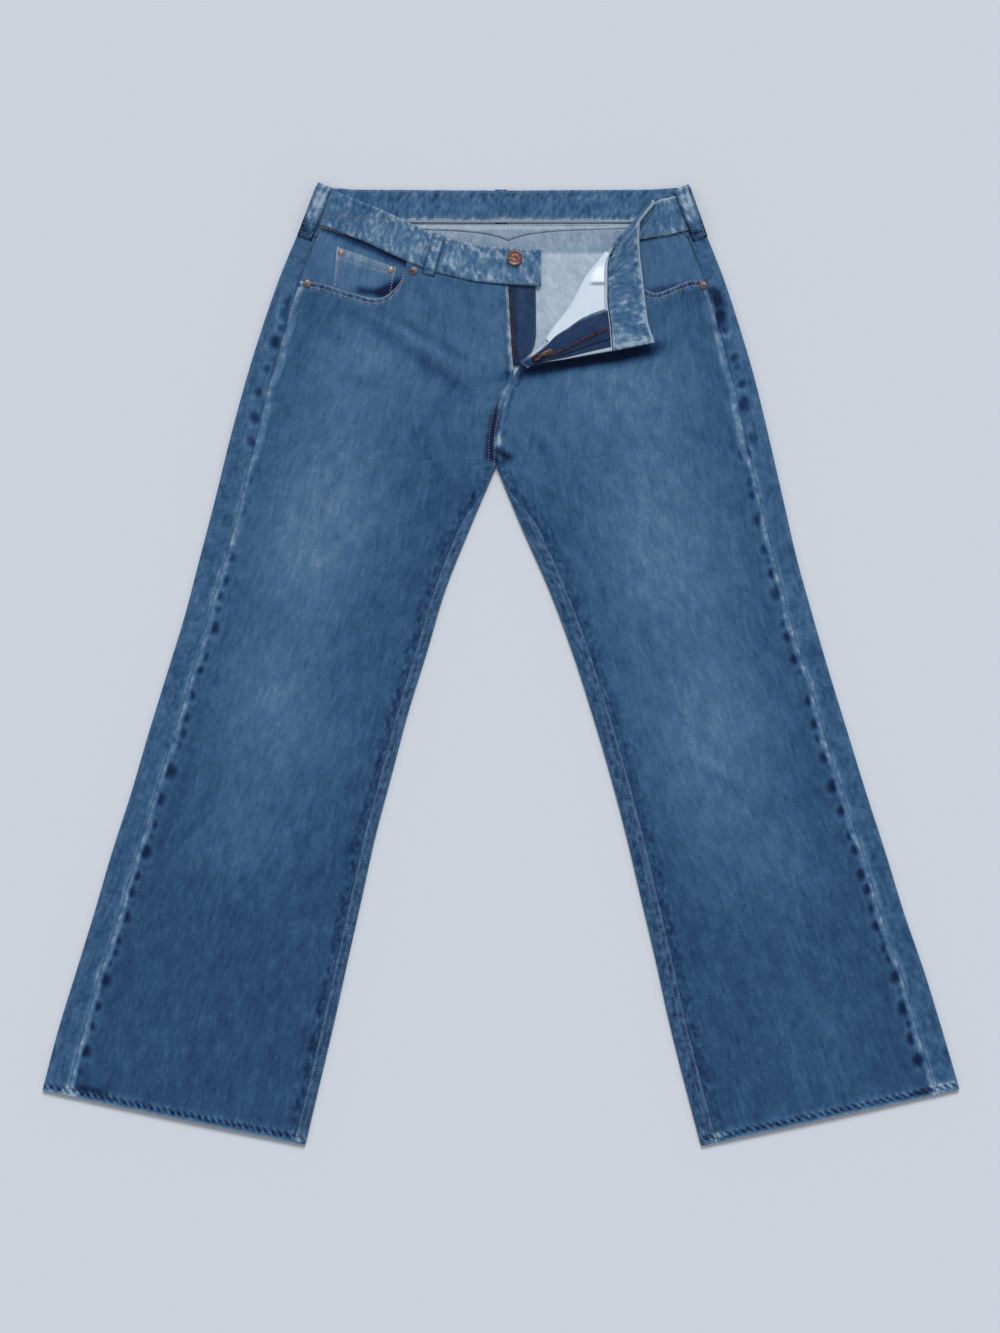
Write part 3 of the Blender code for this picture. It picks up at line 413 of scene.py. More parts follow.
# %% [markdown]
# ## Cloth as a fine grid
#
# Every panel starts as `bmesh.ops.create_grid`, whose points are then laid on the panel's form. Each
# point also keeps where it was on the flat cut, in metres, as a UV map, so that the weave follows the
# cloth, and three numbers for the colour: one for how far it has faded, with painted shade and highlight
# added in places, then `mottle`, how uneven that is, and `rope`, how strongly the hem's slanting ropes
# show. A Solidify modifier gives the wall its thickness, with the cloth's paler wrong side as a second
# material.

# %% Cloth as a fine grid
Spot = namedtuple("Spot", "point cut wash mottle rope", defaults=[0.0])
VERTEX_NUMBERS = ("wash", "mottle", "rope", "cut_x", "cut_y")
CLOTH_PIECES = {}


def knots_to_shares(knots, count):
    """Shares of a grid's lines: knots pair a line number with a share, and lines between are even."""
    shares = []
    for k in range(count + 1):
        for (a, start), (b, end) in zip(knots, knots[1:]):
            if a <= k <= b:
                shares.append(mix(start, end, (k - a) / (b - a)))
                break
    return shares


def lay_grid(mesh, columns, rows, spot_at, across=None, down=None, turned_over=False):
    """Add a grid of cloth to a bmesh. spot_at(u, v) says where each of its points lies."""
    for name in VERTEX_NUMBERS:
        if not mesh.verts.layers.float.get(name):
            mesh.verts.layers.float.new(name)
    wash, mottle, rope, cut_x, cut_y = [mesh.verts.layers.float.get(name) for name in VERTEX_NUMBERS]
    made = bmesh.ops.create_grid(mesh, x_segments=columns, y_segments=rows, size=1.0)["verts"]
    for vert in made:
        column = round((vert.co.x + 1) / 2 * columns)
        row = round((1 - vert.co.y) / 2 * rows)
        u = across[column] if across else column / columns
        v = down[row] if down else row / rows
        spot = spot_at(u, v)
        vert.co = spot.point * MM
        vert[wash] = spot.wash
        vert[mottle] = spot.mottle
        vert[rope] = spot.rope
        vert[cut_x] = spot.cut[0] * MM
        vert[cut_y] = spot.cut[1] * MM
    if turned_over:
        faces = {face for vert in made for face in vert.link_faces}
        bmesh.ops.reverse_faces(mesh, faces=list(faces))


def make_cloth(node, mesh, thickness, looks, ending="_cloth"):
    """Finish a bmesh as a piece of cloth with a wall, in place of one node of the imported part."""
    name = node + ending
    uv = mesh.loops.layers.uv.new("cut")
    cut_x = mesh.verts.layers.float.get("cut_x")
    cut_y = mesh.verts.layers.float.get("cut_y")
    for face in mesh.faces:
        face.smooth = True
        for loop in face.loops:
            loop[uv].uv = (loop.vert[cut_x], loop.vert[cut_y])
    area = sum(face.calc_area() for face in mesh.faces)
    xs = [vert[cut_x] for vert in mesh.verts]
    ys = [vert[cut_y] for vert in mesh.verts]
    piece = add_mesh(name, mesh, looks)
    wall = piece.modifiers.new("wall", "SOLIDIFY")
    wall.thickness = thickness * MM
    wall.offset = -1.0
    wall.use_even_offset = False
    wall.material_offset = len(looks) - 1
    wall.material_offset_rim = 0
    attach(piece, "jeans")
    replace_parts(piece, node)
    CLOTH_PIECES[name] = (piece, max(xs) - min(xs), max(ys) - min(ys), area)
    print(name, len(piece.data.polygons), "faces,", round(area * 1e4), "cm2")
    return piece


def grid_cloth(node, columns, rows, spot_at, thickness, looks, ending="_cloth", **grid):
    """A piece of cloth that is one grid."""
    mesh = bmesh.new()
    lay_grid(mesh, columns, rows, spot_at, **grid)
    return make_cloth(node, mesh, thickness, looks, ending)


# %% [markdown]
# ## Shader sums
#
# Long chains of Math nodes are hard to read. This small class wraps a socket, so that a shader's sums are
# written as Python sums, and each `+` or `*` adds its Math node.

# %% Shader sums


class Link:
    """A node's output that can stand in a sum."""

    def __init__(self, finish, socket):
        self.finish = finish
        self.socket = socket

    def __add__(self, other):
        return self.finish.maths("ADD", self, other)

    def __mul__(self, other):
        return self.finish.maths("MULTIPLY", self, other)

    def __sub__(self, other):
        return self.finish.maths("SUBTRACT", self, other)


class Finish:
    """A material in the making: one Principled shader and whatever feeds it."""

    def __init__(self, name, roughness, metallic=0.0, sheen=0.0):
        self.material = bpy.data.materials.new(name)
        self.material.use_nodes = True
        self.tree = self.material.node_tree
        self.shader = self.tree.nodes["Principled BSDF"]
        self.shader.inputs["Roughness"].default_value = roughness
        self.shader.inputs["Metallic"].default_value = metallic
        self.shader.inputs["Sheen Weight"].default_value = sheen
        self.shader.inputs["Sheen Roughness"].default_value = 0.6
        self.shader.inputs["Specular IOR Level"].default_value = 0.5 if metallic else 0.2

    def node(self, kind, settings, values, output=0):
        """Add any node: its settings first, then the values or links of its sockets."""
        made = self.tree.nodes.new(kind)
        for setting, value in settings.items():
            if setting == "stops":
                self.set_stops(made.color_ramp, value)
            else:
                setattr(made, setting, value)
        for socket, value in values.items():
            if isinstance(value, Link):
                self.tree.links.new(value.socket, made.inputs[socket])
            else:
                made.inputs[socket].default_value = value
        return Link(self, made.outputs[output])

    def set_stops(self, ramp, stops):
        while len(ramp.elements) < len(stops):
            ramp.elements.new(0.5)
        for element, (place, colour) in zip(ramp.elements, stops):
            element.position = place
            element.color = colour

    def maths(self, operation, first, second):
        return self.node("ShaderNodeMath", {"operation": operation}, {0: first, 1: second})

    def clamp(self, value):
        return self.node("ShaderNodeClamp", {}, {"Value": value})

    def attribute(self, name):
        return self.node("ShaderNodeAttribute", {"attribute_name": name}, {}, "Fac")

    def cut(self, scale, turn=0.0):
        """The cloth's own flat coordinates, stretched and turned."""
        uv = self.node("ShaderNodeUVMap", {"uv_map": "cut"}, {})
        return self.node("ShaderNodeMapping", {}, {"Vector": uv, "Scale": scale, "Rotation": (0, 0, turn)})

    def place(self):
        return self.node("ShaderNodeTexCoord", {}, {}, "Object")

    def bands(self, turn, scale, distortion, detail, detail_scale=1.0):
        """Slanting bands over the flat cloth, at a turn in degrees."""
        flat_cloth = self.cut((1000.0, 1000.0, 1.0), math.radians(turn))
        return self.node("ShaderNodeTexWave", {"wave_type": "BANDS", "bands_direction": "X"},
                         {"Vector": flat_cloth, "Scale": scale, "Distortion": distortion, "Detail": detail,
                          "Detail Scale": detail_scale}, "Fac")

    def step(self, axis, edge, steepness):
        """0 on one side of a place along an axis and 1 on the other."""
        along = self.node("ShaderNodeSeparateXYZ", {}, {0: self.place()}, axis)
        return self.clamp((along - edge) * steepness)

    def noise(self, vector, scale, detail=2.0, roughness=0.5):
        values = {"Vector": vector, "Scale": scale, "Detail": detail, "Roughness": roughness}
        return self.node("ShaderNodeTexNoise", {}, values, "Fac")

    def ramp(self, value, stops):
        return self.node("ShaderNodeValToRGB", {"stops": stops}, {"Fac": value}, "Color")

    def feed(self, socket, link):
        self.tree.links.new(link.socket, self.shader.inputs[socket])

    def bump(self, height, strength, distance):
        values = {"Strength": strength, "Distance": distance, "Height": height}
        self.feed("Normal", self.node("ShaderNodeBump", {}, values))


# %% [markdown]
# ## Washed denim
#
# Denim is a twill: indigo threads run down the leg over white threads, in fine slanting ribs. Washing
# leaves uneven streaks along the indigo threads, pale where seams stand proud and dark where cloth was
# shielded. The colour comes from one ramp, from unworn indigo to nearly white, read at how far the cloth
# has faded, with painted shade added in places, plus streaks, so that all pieces share the same dye. The
# ribs and threads are a small bump.

# %% Washed denim


def srgb(red, green, blue):
    """A colour as read off a screen, 0 to 255, in the linear values that a shader takes."""
    return tuple((value / 255) ** 2.2 for value in (red, green, blue)) + (1.0,)


DENIM_RAMP = [
    (0.00, srgb(14, 32, 62)),
    (0.20, srgb(28, 54, 90)),
    (0.40, srgb(44, 77, 111)),
    (0.55, srgb(60, 94, 129)),
    (0.65, srgb(70, 103, 138)),
    (0.80, srgb(90, 121, 151)),
    (1.00, srgb(146, 165, 184)),
]
YOKE_FOOT = 0.4765
BRIGHT_BELOW = 0.4535


def denim(name, streak=0.34, grain=0.24, ramp=DENIM_RAMP, lit_inside=False):
    finish = Finish(name, 0.9, sheen=0.05)
    wash = finish.attribute("wash")
    mottle = finish.attribute("mottle")
    rope = finish.attribute("rope")
    streaks = finish.noise(finish.cut((250.0, 44.0, 1.0)), 1.0, 3.0, 0.6)
    fine = finish.noise(finish.cut((760.0, 320.0, 1.0)), 1.0, 2.0, 0.6)
    patches = finish.noise(finish.cut((60.0, 34.0, 1.0)), 1.0, 3.0, 0.55)
    blots = finish.noise(finish.cut((105.0, 66.0, 1.0)), 1.0, 2.0, 0.5)
    knots = finish.noise(finish.cut((210.0, 150.0, 1.0)), 1.0, 1.0, 0.4)
    slant = finish.bands(62, 0.28, 1.5, 1.0)
    ropes = finish.bands(-32, 0.047, 7.0, 2.0, 0.13)
    level = wash + (streaks - 0.5) * streak + (fine - 0.5) * grain + (patches - 0.5) * 0.34
    level = level + (blots + knots - 1.0) * mottle * 1.4 + (slant - 0.5) * 0.06 + (ropes - 0.5) * rope
    if lit_inside:
        level = level + finish.step("Y", YOKE_FOOT, 400.0) * 0.25
        level = level + finish.step("Y", BRIGHT_BELOW, -300.0) * 0.33
    finish.feed("Base Color", finish.ramp(finish.clamp(level), ramp))
    height = slant * 0.5 + fine * 0.6 + streaks * 0.6 + blots * mottle * 2.0 + ropes * rope * 2.5
    finish.bump(height, 0.5, 0.0004)
    return finish.material


INSIDE_RAMP = [
    (0.00, srgb(60, 80, 108)),
    (0.35, srgb(112, 132, 155)),
    (0.60, srgb(142, 159, 179)),
    (1.00, srgb(182, 197, 212)),
]
FACE = denim("washed_denim")
INSIDE = denim("denim_wrong_side", ramp=INSIDE_RAMP, lit_inside=True)
TWO_SIDES = [FACE, INSIDE]
print("denim finishes", FACE.name, INSIDE.name)

# %% [markdown]
# ## How the dye has faded, and painted shade
#
# The thighs and knees are paler, the calves and the cloth beside the seams darker. The table gives each
# faded patch, and each patch of painted shadow under the folded corner and in the crotch crease, by place,
# lean and size. Small creases get a painted highlight on their crests and painted shade in their troughs.

# %% How the dye has faded, and painted shade
CALF_WASH = 0.37
# The first twelve rows are faded patches. The rows at (78, 330), (82, 331) and (148, 343) are painted
# shadow under the folded corner's free edge and the band's folded end. The dark rows at (-9, 256), (2, 231)
# and (-7, 225) are painted shade in the crotch crease.
FADES_AND_SHADOWS = folds(
    (-170, 250, 20, 420, 230, 0.19), (-228, 70, 18, 380, 180, 0.20), (-262, -120, 18, 290, 150, 0.17),
    (-100, 370, 60, 320, 150, 0.10), (-150, -60, 24, 340, 90, 0.07), (150, 230, -22, 420, 250, 0.20),
    (210, 40, -20, 380, 190, 0.18), (255, -130, -18, 300, 170, 0.18), (110, 350, -60, 320, 190, 0.14),
    (170, -90, -24, 340, 100, 0.08), (0, 280, 0, 200, 140, 0.13), (330, -380, -16, 380, 180, 0.06),
    (78, 330, 79, 170, 19, -0.60), (148, 343, 78, 70, 18, -0.55), (-9, 256, 12, 58, 13, -0.62),
    (-3, 246, 10, 18, 8, 0.50), (2, 231, -60, 26, 11, -0.62), (82, 331, 81, 96, 9, -0.55),
    (-7, 225, -60, 22, 9, -0.55), (4, 302, 30, 46, 12, 0.16),
)
WORN_SPOTS = folds(
    (-472, -470, 104, 22, 8, 0.60), (-453, -468, 104, 34, 10, -0.45), (-222, -522, 104, 12, 7, 0.45),
    (239, -518, 78, 22, 8, 0.55), (488, -463, 78, 26, 8, 0.60), (462, -470, 78, 28, 8, -0.35),
)
# Crease heights also paint a highlight on crests and shade in troughs, at this strength.
CREASE_SHADING = 0.12


def faded_and_shaded(x, y):
    """How far the dye has faded at a place on the fronts, with painted shadow under the folded corner and
    in the crotch crease, and painted crease shading.
    """
    uneven = 0.03 * cloud(x / 60, y / 90, 3.0)
    worn = fold_sum(WORN_SPOTS, x, y)
    return CALF_WASH + fold_sum(FADES_AND_SHADOWS, x, y) + fold_sum(CREASES, x, y) * CREASE_SHADING + worn + uneven


# %% [markdown]
# ## Side seams, inseams and hems
#
# The side seam's allowances make a raised cord under the front panel. In the wash the cord rubs pale and
# the cloth beside it gathers in dark puckers, at uneven steps of about 17 mm. The hem twists into
# slanting ropes beside its stitches. Each is a small height and a change of wash, worked out from the
# distance to the seam.

# %% Puckers
Pucker = namedtuple("Pucker", "y inward size depth")
PUCKER_TABLES = {
    "right": [
        (396, -1, 1.5, 0.7), (384, -3, 1.2, 0.6), (369, -4, 0.8, 0.5), (353, -6, 1.4, 0.9),
        (324, -7, 0.9, 0.7), (297, -8, 1.0, 0.7), (270, -6, 1.2, 0.8), (244, -4, 1.0, 0.8),
        (217, 0, 0.8, 0.5), (203, 2, 1.0, 0.7), (170, 4, 1.1, 0.3), (119, 6, 1.0, 0.7), (93, 6, 1.1, 0.9),
        (75, 6, 0.9, 0.8), (61, 7, 0.7, 0.5), (42, 7, 1.3, 1.1), (24, 6, 0.9, 0.4), (10, 7, 1.1, 0.7),
        (-5, 6, 0.9, 0.9), (-33, 6, 1.0, 0.8), (-57, 6, 1.1, 0.9), (-73, 7, 1.1, 0.7), (-88, 7, 0.9, 0.5),
        (-116, 7, 1.6, 0.9), (-147, 6, 1.3, 0.9), (-174, 6, 1.0, 0.9), (-188, 7, 0.8, 0.4),
        (-204, 7, 1.4, 1.0), (-231, 6, 1.0, 0.9), (-249, 6, 1.0, 0.8), (-276, 7, 1.2, 0.9),
        (-303, 6, 1.0, 0.7), (-314, 6, 1.0, 0.8), (-327, 6, 0.7, 0.6), (-346, 7, 1.4, 0.9),
        (-358, 7, 0.8, 0.4), (-374, 6, 1.0, 0.9), (-396, 6, 1.0, 0.8), (-423, 7, 1.3, 1.0),
        (-446, 7, 0.8, 0.4),
    ],
    "left": [
        (404, -3, 2.0, 1.0), (390, -5, 2.2, 1.1), (376, -2, 1.9, 0.9), (366, -6, 0.8, 0.6),
        (336, -8, 1.0, 0.8), (326, -8, 0.7, 0.5), (307, -8, 0.9, 0.8), (285, -7, 1.7, 0.8),
        (248, -7, 1.2, 0.6), (232, 5, 1.3, 0.7), (200, 6, 1.0, 0.7), (187, 6, 1.0, 0.8), (160, 6, 1.4, 0.8),
        (128, 6, 1.1, 0.8), (115, 6, 0.8, 0.4), (101, 6, 1.0, 0.9), (79, 7, 1.4, 0.6), (46, 6, 1.0, 0.7),
        (32, 7, 1.2, 0.9), (7, 7, 1.1, 0.9), (-7, 6, 0.9, 0.4), (-39, 6, 1.1, 0.9), (-64, 6, 1.1, 0.9),
        (-80, 6, 1.0, 0.7), (-101, 7, 1.2, 0.9), (-112, 6, 0.7, 0.4), (-132, 7, 1.4, 1.0),
        (-160, 7, 1.1, 0.9), (-187, 6, 1.0, 0.8), (-202, 6, 1.1, 0.8), (-229, 7, 1.2, 0.9),
        (-246, 6, 1.1, 0.9), (-266, 6, 1.0, 0.7), (-286, 7, 1.2, 1.0), (-297, 6, 0.7, 0.4),
        (-310, 7, 1.1, 0.7), (-321, 6, 0.9, 0.7), (-342, 7, 1.2, 1.0), (-358, 6, 0.8, 0.5),
        (-376, 7, 1.5, 1.0), (-394, 7, 0.7, 0.6), (-409, 7, 1.3, 1.0), (-433, 8, 1.3, 1.0),
    ],
}
PUCKERS = {side: [Pucker(*row) for row in rows] for side, rows in PUCKER_TABLES.items()}
PUCKER_REACH = 5.1
SEAM_LEAN = 0.96
CORD_HEIGHT = 0.7
RIDGE_WASH = 0.79
HEM_TURN = 11.0
PUCKER_NEAR = 18
RELIEF_WITHIN = (-16, 34)
CORD_CROSSES_Y = 205
HEM_RELIEF_HEIGHT = 26


def seam_relief(side, inward, seam_y, wash):
    """Height and wash near a side seam. inward is the distance in from it, negative on the back's wrap."""
    if not RELIEF_WITHIN[0] <= inward <= RELIEF_WITHIN[1]:
        return 0.0, wash
    crossed = smooth((seam_y - CORD_CROSSES_Y) / 45)
    wander = 1.2 * math.sin(seam_y / 17) + 0.8 * math.sin(seam_y / 7.3 + 1)
    ridge = mix(1.6, 4.5, crossed) + wander
    strength = min(0.94 + 0.6 * cloud(seam_y / 11, 4.0, LEG_SIDE[side]), 1.0)
    height = CORD_HEIGHT * hump(inward - ridge, 4.0)
    for y, centre, size, depth in PUCKERS[side]:
        if abs(y - seam_y) >= PUCKER_NEAR:
            continue
        reach = PUCKER_REACH * size
        away = ((y - seam_y) / SEAM_LEAN - 0.3 * (inward - centre)) / reach
        across = (inward - centre - 0.4 * wander) / reach
        spot = math.exp(-(away ** 2 + (across * 1.1) ** 2) ** 1.5)
        height -= 0.8 * depth * spot
        wash -= 0.47 * depth * spot
        halo = math.exp(-((math.hypot(away, across) - 1.6) / 0.45) ** 2)
        wash += 0.09 * depth * halo
        tail = hump(away, 0.9) * smooth((inward - centre) / 6) * (1 - smooth((inward - 20) / 12))
        height -= 0.28 * depth * tail
        wash -= 0.05 * depth * tail
    wash = mix(wash, RIDGE_WASH, strength * math.exp(-((inward - ridge) / 4.2) ** 4))
    return height, wash


def hem_relief(above, along):
    """Height and wash of the cloth at a distance above the hem's edge and along it."""
    if above > HEM_RELIEF_HEIGHT:
        return 0.0, 0.0
    lean = along + 0.8 * above
    rope = cloud(lean / 3.6, 7.0, 0) + 0.6 * math.sin(lean / 1.05 + 2.0 * math.sin(along / 17))
    groove = hump(above - HEM_TURN + 1.5, 3.6)
    height = -0.45 * groove + 0.32 * rope * hump(above - HEM_TURN + 3, 5.5)
    wash = -0.10 * groove + 0.14 * hump(above - HEM_TURN - 3, 2.4)
    wash += 0.42 * hump(above - 0.5, 3.8)
    return height, wash


def hem_mottle(above):
    return 0.55 * hump(above - HEM_TURN + 2.0, 5.0)


def hem_rope(above):
    return 0.62 * hump(above - HEM_TURN + 1.5, 3.8)


# %% [markdown]
# ## The fronts
#
# A front panel is one grid. Its upper part fills the lines of the pocket mouth, the waistband seam, the
# fly and the side seam, and its lower part follows the leg's sections. Grid lines stand closer together
# beside the seams, where the puckers need them.

# %% The fronts
COLUMNS = 88
HIP_ROWS = 96
LEG_GRID_ROWS = 350
HIP_SHARE = 0.25
ACROSS = knots_to_shares([(0, 0.0), (22, 0.13), (74, 0.91), (COLUMNS, 1.0)], COLUMNS)
DOWN_LINES = HIP_ROWS + LEG_GRID_ROWS
DOWN_KNOTS = [(0, 0.0), (HIP_ROWS, HIP_SHARE), (DOWN_LINES - 26, 0.98), (DOWN_LINES, 1.0)]
DOWN = knots_to_shares(DOWN_KNOTS, DOWN_LINES)
ROW_LENGTH = 66.5

BandRow = namedtuple("BandRow", "top_x top_y low_x low_y")
BAND_RIGHT_FRONT = [
    BandRow(44, 455, 44, 415),
    BandRow(8, 457, 4, 417),
    BandRow(-23, 460, -30, 420),
    BandRow(-66, 469, -77, 431),
    BandRow(-88, 479, -103, 442),
    BandRow(-133, 500, -150, 464),
    BandRow(-178, 518, -192, 481),
]
BAND_RIGHT_SIDE = BandRow(-204, 525, -218, 486)
BAND_BACK = [
    BandRow(-180, 523, -188, 486),
    BandRow(-160, 521.5, -163, 485.5),
    BandRow(-80, 521, -80, 485.5),
    BandRow(0, 520.5, 0, 485.5),
    BandRow(80, 521, 80, 485.5),
    BandRow(163, 521.5, 165, 485.5),
    BandRow(184, 523, 192, 486),
]
BAND_LEFT_SIDE = BandRow(208, 525, 222, 486)
BAND_LEFT_FRONT = [
    BandRow(196, 516, 206, 477),
    BandRow(184, 512, 186, 472),
    BandRow(176, 511, 155, 467),
]
BAND_CREASE = BandRow(166, 510, 122, 461)
StripRow = namedtuple("StripRow", "top_x top_y low_x low_y tilt")
BAND_STRIP = [
    StripRow(161, 498, 125, 456, 4),
    StripRow(152, 486, 120, 447, 8),
    StripRow(151, 469, 118, 436, 8),
    StripRow(152, 447, 118, 425, 6.5),
    StripRow(155, 425, 118, 412, 5),
    StripRow(157, 404, 118, 397, 3.5),
    StripRow(161, 373, 121, 371, 1.5),
    StripRow(168, 352, 123, 343, 0),
]
FLY_EDGE = [(8, 415), (10, 379), (12, 346), (14, 321)]
FRONT_SEAM = [(14, 321), (13, 308), (4, 291), (-3, 263), (-5, 241), (-5, 218)]
CREASE = [(120, 457.5), (106, 440), (94, 425), (76, 392), (59, 370), (48, 354), (35, 343), (20, 332)]
FREE_EDGE = [(122, 343), (98, 339), (70, 334), (43, 330), (29, 325)]
MOUTH_CURVE = {
    "right": [(-198, 419), (-167, 409), (-135, 402), (-117, 412), (-107, 427), (-103.5, 441.7)],
    "left": [(208, 422), (188, 414), (169, 408), (153, 417), (143, 436), (139, 463)],
}
MOUTH_ROW = 2.02
HIP_DEPTH = 205.0
HIP_WIDTH = 250.0
CUT_TOP = 1000
CORNER_CUT_X = -220
LEVEL_BESIDE_SEAM = 14
FLY_FOOT_Y = 322
MOUTH_SHARE = {"right": ACROSS[49], "left": ACROSS[68]}
CREASE_GRID_ROWS = 48
CORNER_LINES = 44
CORNER_WIDTHS = (75, 12)
CREASE_SHARE = CREASE_GRID_ROWS / HIP_ROWS


def front_lift(point, u):
    """Extra height of the fronts where the pocket mouths lie over what is in the pockets."""
    near_band = smooth((point.y - 362) / 40)
    off_seam = smooth(u / 0.12) * (1 - smooth((u - 0.6) / 0.3))
    return MOUTH_LIFT * near_band * off_seam


def front_height(point, u, radius=FOLD_RADIUS):
    """Height of the solid front panel's face."""
    crown = LOFT * math.sin(math.pi * min(max(u, 0), 1))
    top = lift(point.y) + 2 * radius + crown + front_lift(point, u)
    return top + fold_sum(FOLDS, point.x, point.y) * min(1, 4 * u, 4 * (1 - u))


class Corner:
    """The folded corner of the left front: a roll along the crease and a flap lying back over the panel."""

    def __init__(self):
        self.edge = Path(CREASE)
        self.axis = self.edge.shifted(-(CREASE_RADIUS + DENIM / 2))
        seam = [(row.low_x - STRIP_SEAM, row.low_y) for row in BAND_STRIP[1:-1]]
        free = Path(FREE_EDGE)
        foot = Path([self.axis.at(1), (free.at(1) + self.axis.at(1)) / 2, free.at(1)])
        head = Path([self.axis.at(0)] + seam + [free.at(0)])
        self.place = patch(head, foot, self.axis, free)

    def base_z(self, down):
        return front_height(self.axis.at(down), 1.0) - DENIM / 2

    def roll(self, down, angle, radius):
        """A point of the roll, at an angle from straight below its axis and a distance from it."""
        out = side_step(self.axis.along(down))
        plan = self.axis.at(down) + out * radius * math.sin(angle)
        return raised(plan, self.base_z(down) + CREASE_RADIUS - radius * math.cos(angle))

    def flap(self, share, down, above):
        """A point over the flap's middle plane, share from the crease to the free edge."""
        plan = self.place(share, down)
        rise = CORNER_RISE * share ** 1.4 * (1 - 0.75 * down)
        return raised(plan, self.base_z(down) + 2 * CREASE_RADIUS + rise + above)


corner = Corner()


def hip_place(side):
    """The plan of a front panel above the crotch."""
    crotch = section_at(side, CROTCH)
    beside = Path([section_at(side, k).front_point(0) for k in (MOUTH_ROW, 3, 4, 5)])
    mouth = Path([beside.at(0)] + MOUTH_CURVE[side])
    shift = HALF_SEAM * LEG_SIDE[side]
    seam = [(x + shift, y) for x, y in FRONT_SEAM[1:-1]] + [crotch.front_point(1)]
    if side == "right":
        band = [(row.low_x, row.low_y - GAP) for row in BAND_RIGHT_FRONT[3:0:-1]]
        above = Path([MOUTH_CURVE[side][-1]] + band + [FLY_EDGE[0]])
        centre = Path(FLY_EDGE + seam)
    else:
        above = Path([MOUTH_CURVE[side][-1], (130, 461.5), corner.axis.at(0)])
        below = Path([corner.axis.at(1), (15.5, 318)] + seam)
        centre = Joined(corner.axis, below, CREASE_SHARE)
    top = Joined(mouth, above, MOUTH_SHARE[side])
    bottom = Path([crotch.front_point(u) for u in (0, 0.5, 1)])
    return patch(top, bottom, beside, centre)


HIP_PLACE = {side: hip_place(side) for side in LEG_ROWS}
SEAM_DOWN = {side: Path([section_at(side, k).front_point(0) for k in range(2, CROTCH + 1)]).length
             for side in LEG_ROWS}


def front_plan(side, u, v):
    """Plan place, panel width, fold radius, distance down the side seam, and the side seam's y."""
    if v <= HIP_SHARE:
        share = v / HIP_SHARE
        place = HIP_PLACE[side]
        return place(u, share), HIP_WIDTH, FOLD_RADIUS, share * SEAM_DOWN[side], place(0, share).y
    row = CROTCH + (v - HIP_SHARE) / (1 - HIP_SHARE) * (HEM - CROTCH)
    section = section_at(side, round(row, 6))
    width = section.width - section.wrap - section.inner_edge
    down = SEAM_DOWN[side] + (row - CROTCH) * ROW_LENGTH
    return section.front_point(u), width, section.radius, down, section.front_point(0).y


def mouth_hem(edge_in):
    """Height, wash and mottle of the pocket mouth's hem, at a distance in from its edge."""
    wash = 0.22 * hump(edge_in - 1.0, 2.0) - 0.12 * hump(edge_in - 5.0, 2.0)
    wash += 0.12 * hump(edge_in - 9.5, 2.4)
    return 0.3 * hump(edge_in - 4.5, 4.0), wash, 0.35 * hump(edge_in - 5, 6)


def front_spot(side, u, v):
    plan, width, radius, down, seam_y = front_plan(side, u, v)
    outer_in = u * width
    inner_in = (1 - u) * width
    top = front_height(plan, u, radius)
    off_edges = min(1.0, outer_in / LEVEL_BESIDE_SEAM, inner_in / LEVEL_BESIDE_SEAM)
    top += fold_sum(CREASES, plan.x, plan.y) * off_edges
    wash = faded_and_shaded(plan.x, plan.y)
    relief, wash = seam_relief(side, outer_in, seam_y, wash)
    top += relief * (1 if v > 0.02 else v / 0.02)
    mottle = 0.11 + 0.22 * hump(outer_in - 2, 5)
    if v < 0.1 and u < MOUTH_SHARE[side]:
        height, change, uneven = mouth_hem(v / HIP_SHARE * HIP_DEPTH)
        top += height
        wash += change
        mottle += uneven
    if v < HIP_SHARE and (side == "right" or plan.y < FLY_FOOT_Y):
        fly_share = 0.28 if plan.y > FLY_FOOT_Y else 0.13
        wash += fly_share * hump(inner_in - 2.0, 3.0) - 0.14 * hump(inner_in - 6.5, 2.4)
        mottle += 0.35 * hump(inner_in - 4, 6)
    if v > HIP_SHARE:
        above = (1 - v) / (1 - HIP_SHARE) * (HEM - CROTCH) * ROW_LENGTH
        relief, change = hem_relief(above, outer_in)
        top += relief
        wash += change
        wash -= 0.10 * hump(inner_in - 5, 6)
        mottle += 0.34 * hump(inner_in - 5, 7)
        mottle += hem_mottle(above)
        rope = hem_rope(above)
    else:
        rope = 0.25 * hump(v / HIP_SHARE * HIP_DEPTH - 5, 4) if u < MOUTH_SHARE[side] else 0.0
    cut = (-outer_in * LEG_SIDE[side], CUT_TOP - down)
    return Spot(raised(plan, top), cut, wash, mottle, rope)


def corner_spot(reach, down):
    """The cloth of the folded corner: reach runs 0 to 1 round the roll and 1 to 2 on the flap."""
    if reach <= 1:
        point = corner.roll(down, math.pi * reach, CREASE_RADIUS - DENIM / 2)
        cut_x = reach * math.pi * CREASE_RADIUS
    else:
        point = corner.flap(reach - 1, down, -DENIM / 2)
        cut_x = math.pi * CREASE_RADIUS + (reach - 1) * mix(*CORNER_WIDTHS, down)
    cut = (CORNER_CUT_X - cut_x, CUT_TOP - down * SEAM_DOWN["left"] * CREASE_SHARE)
    shade = 0.9 * smooth((down - 0.88) / 0.08) * smooth((1.95 - reach) / 0.1)
    return Spot(point, cut, 0.5 + 0.16 * hump(reach - 2, 0.08) - shade, 0.05)


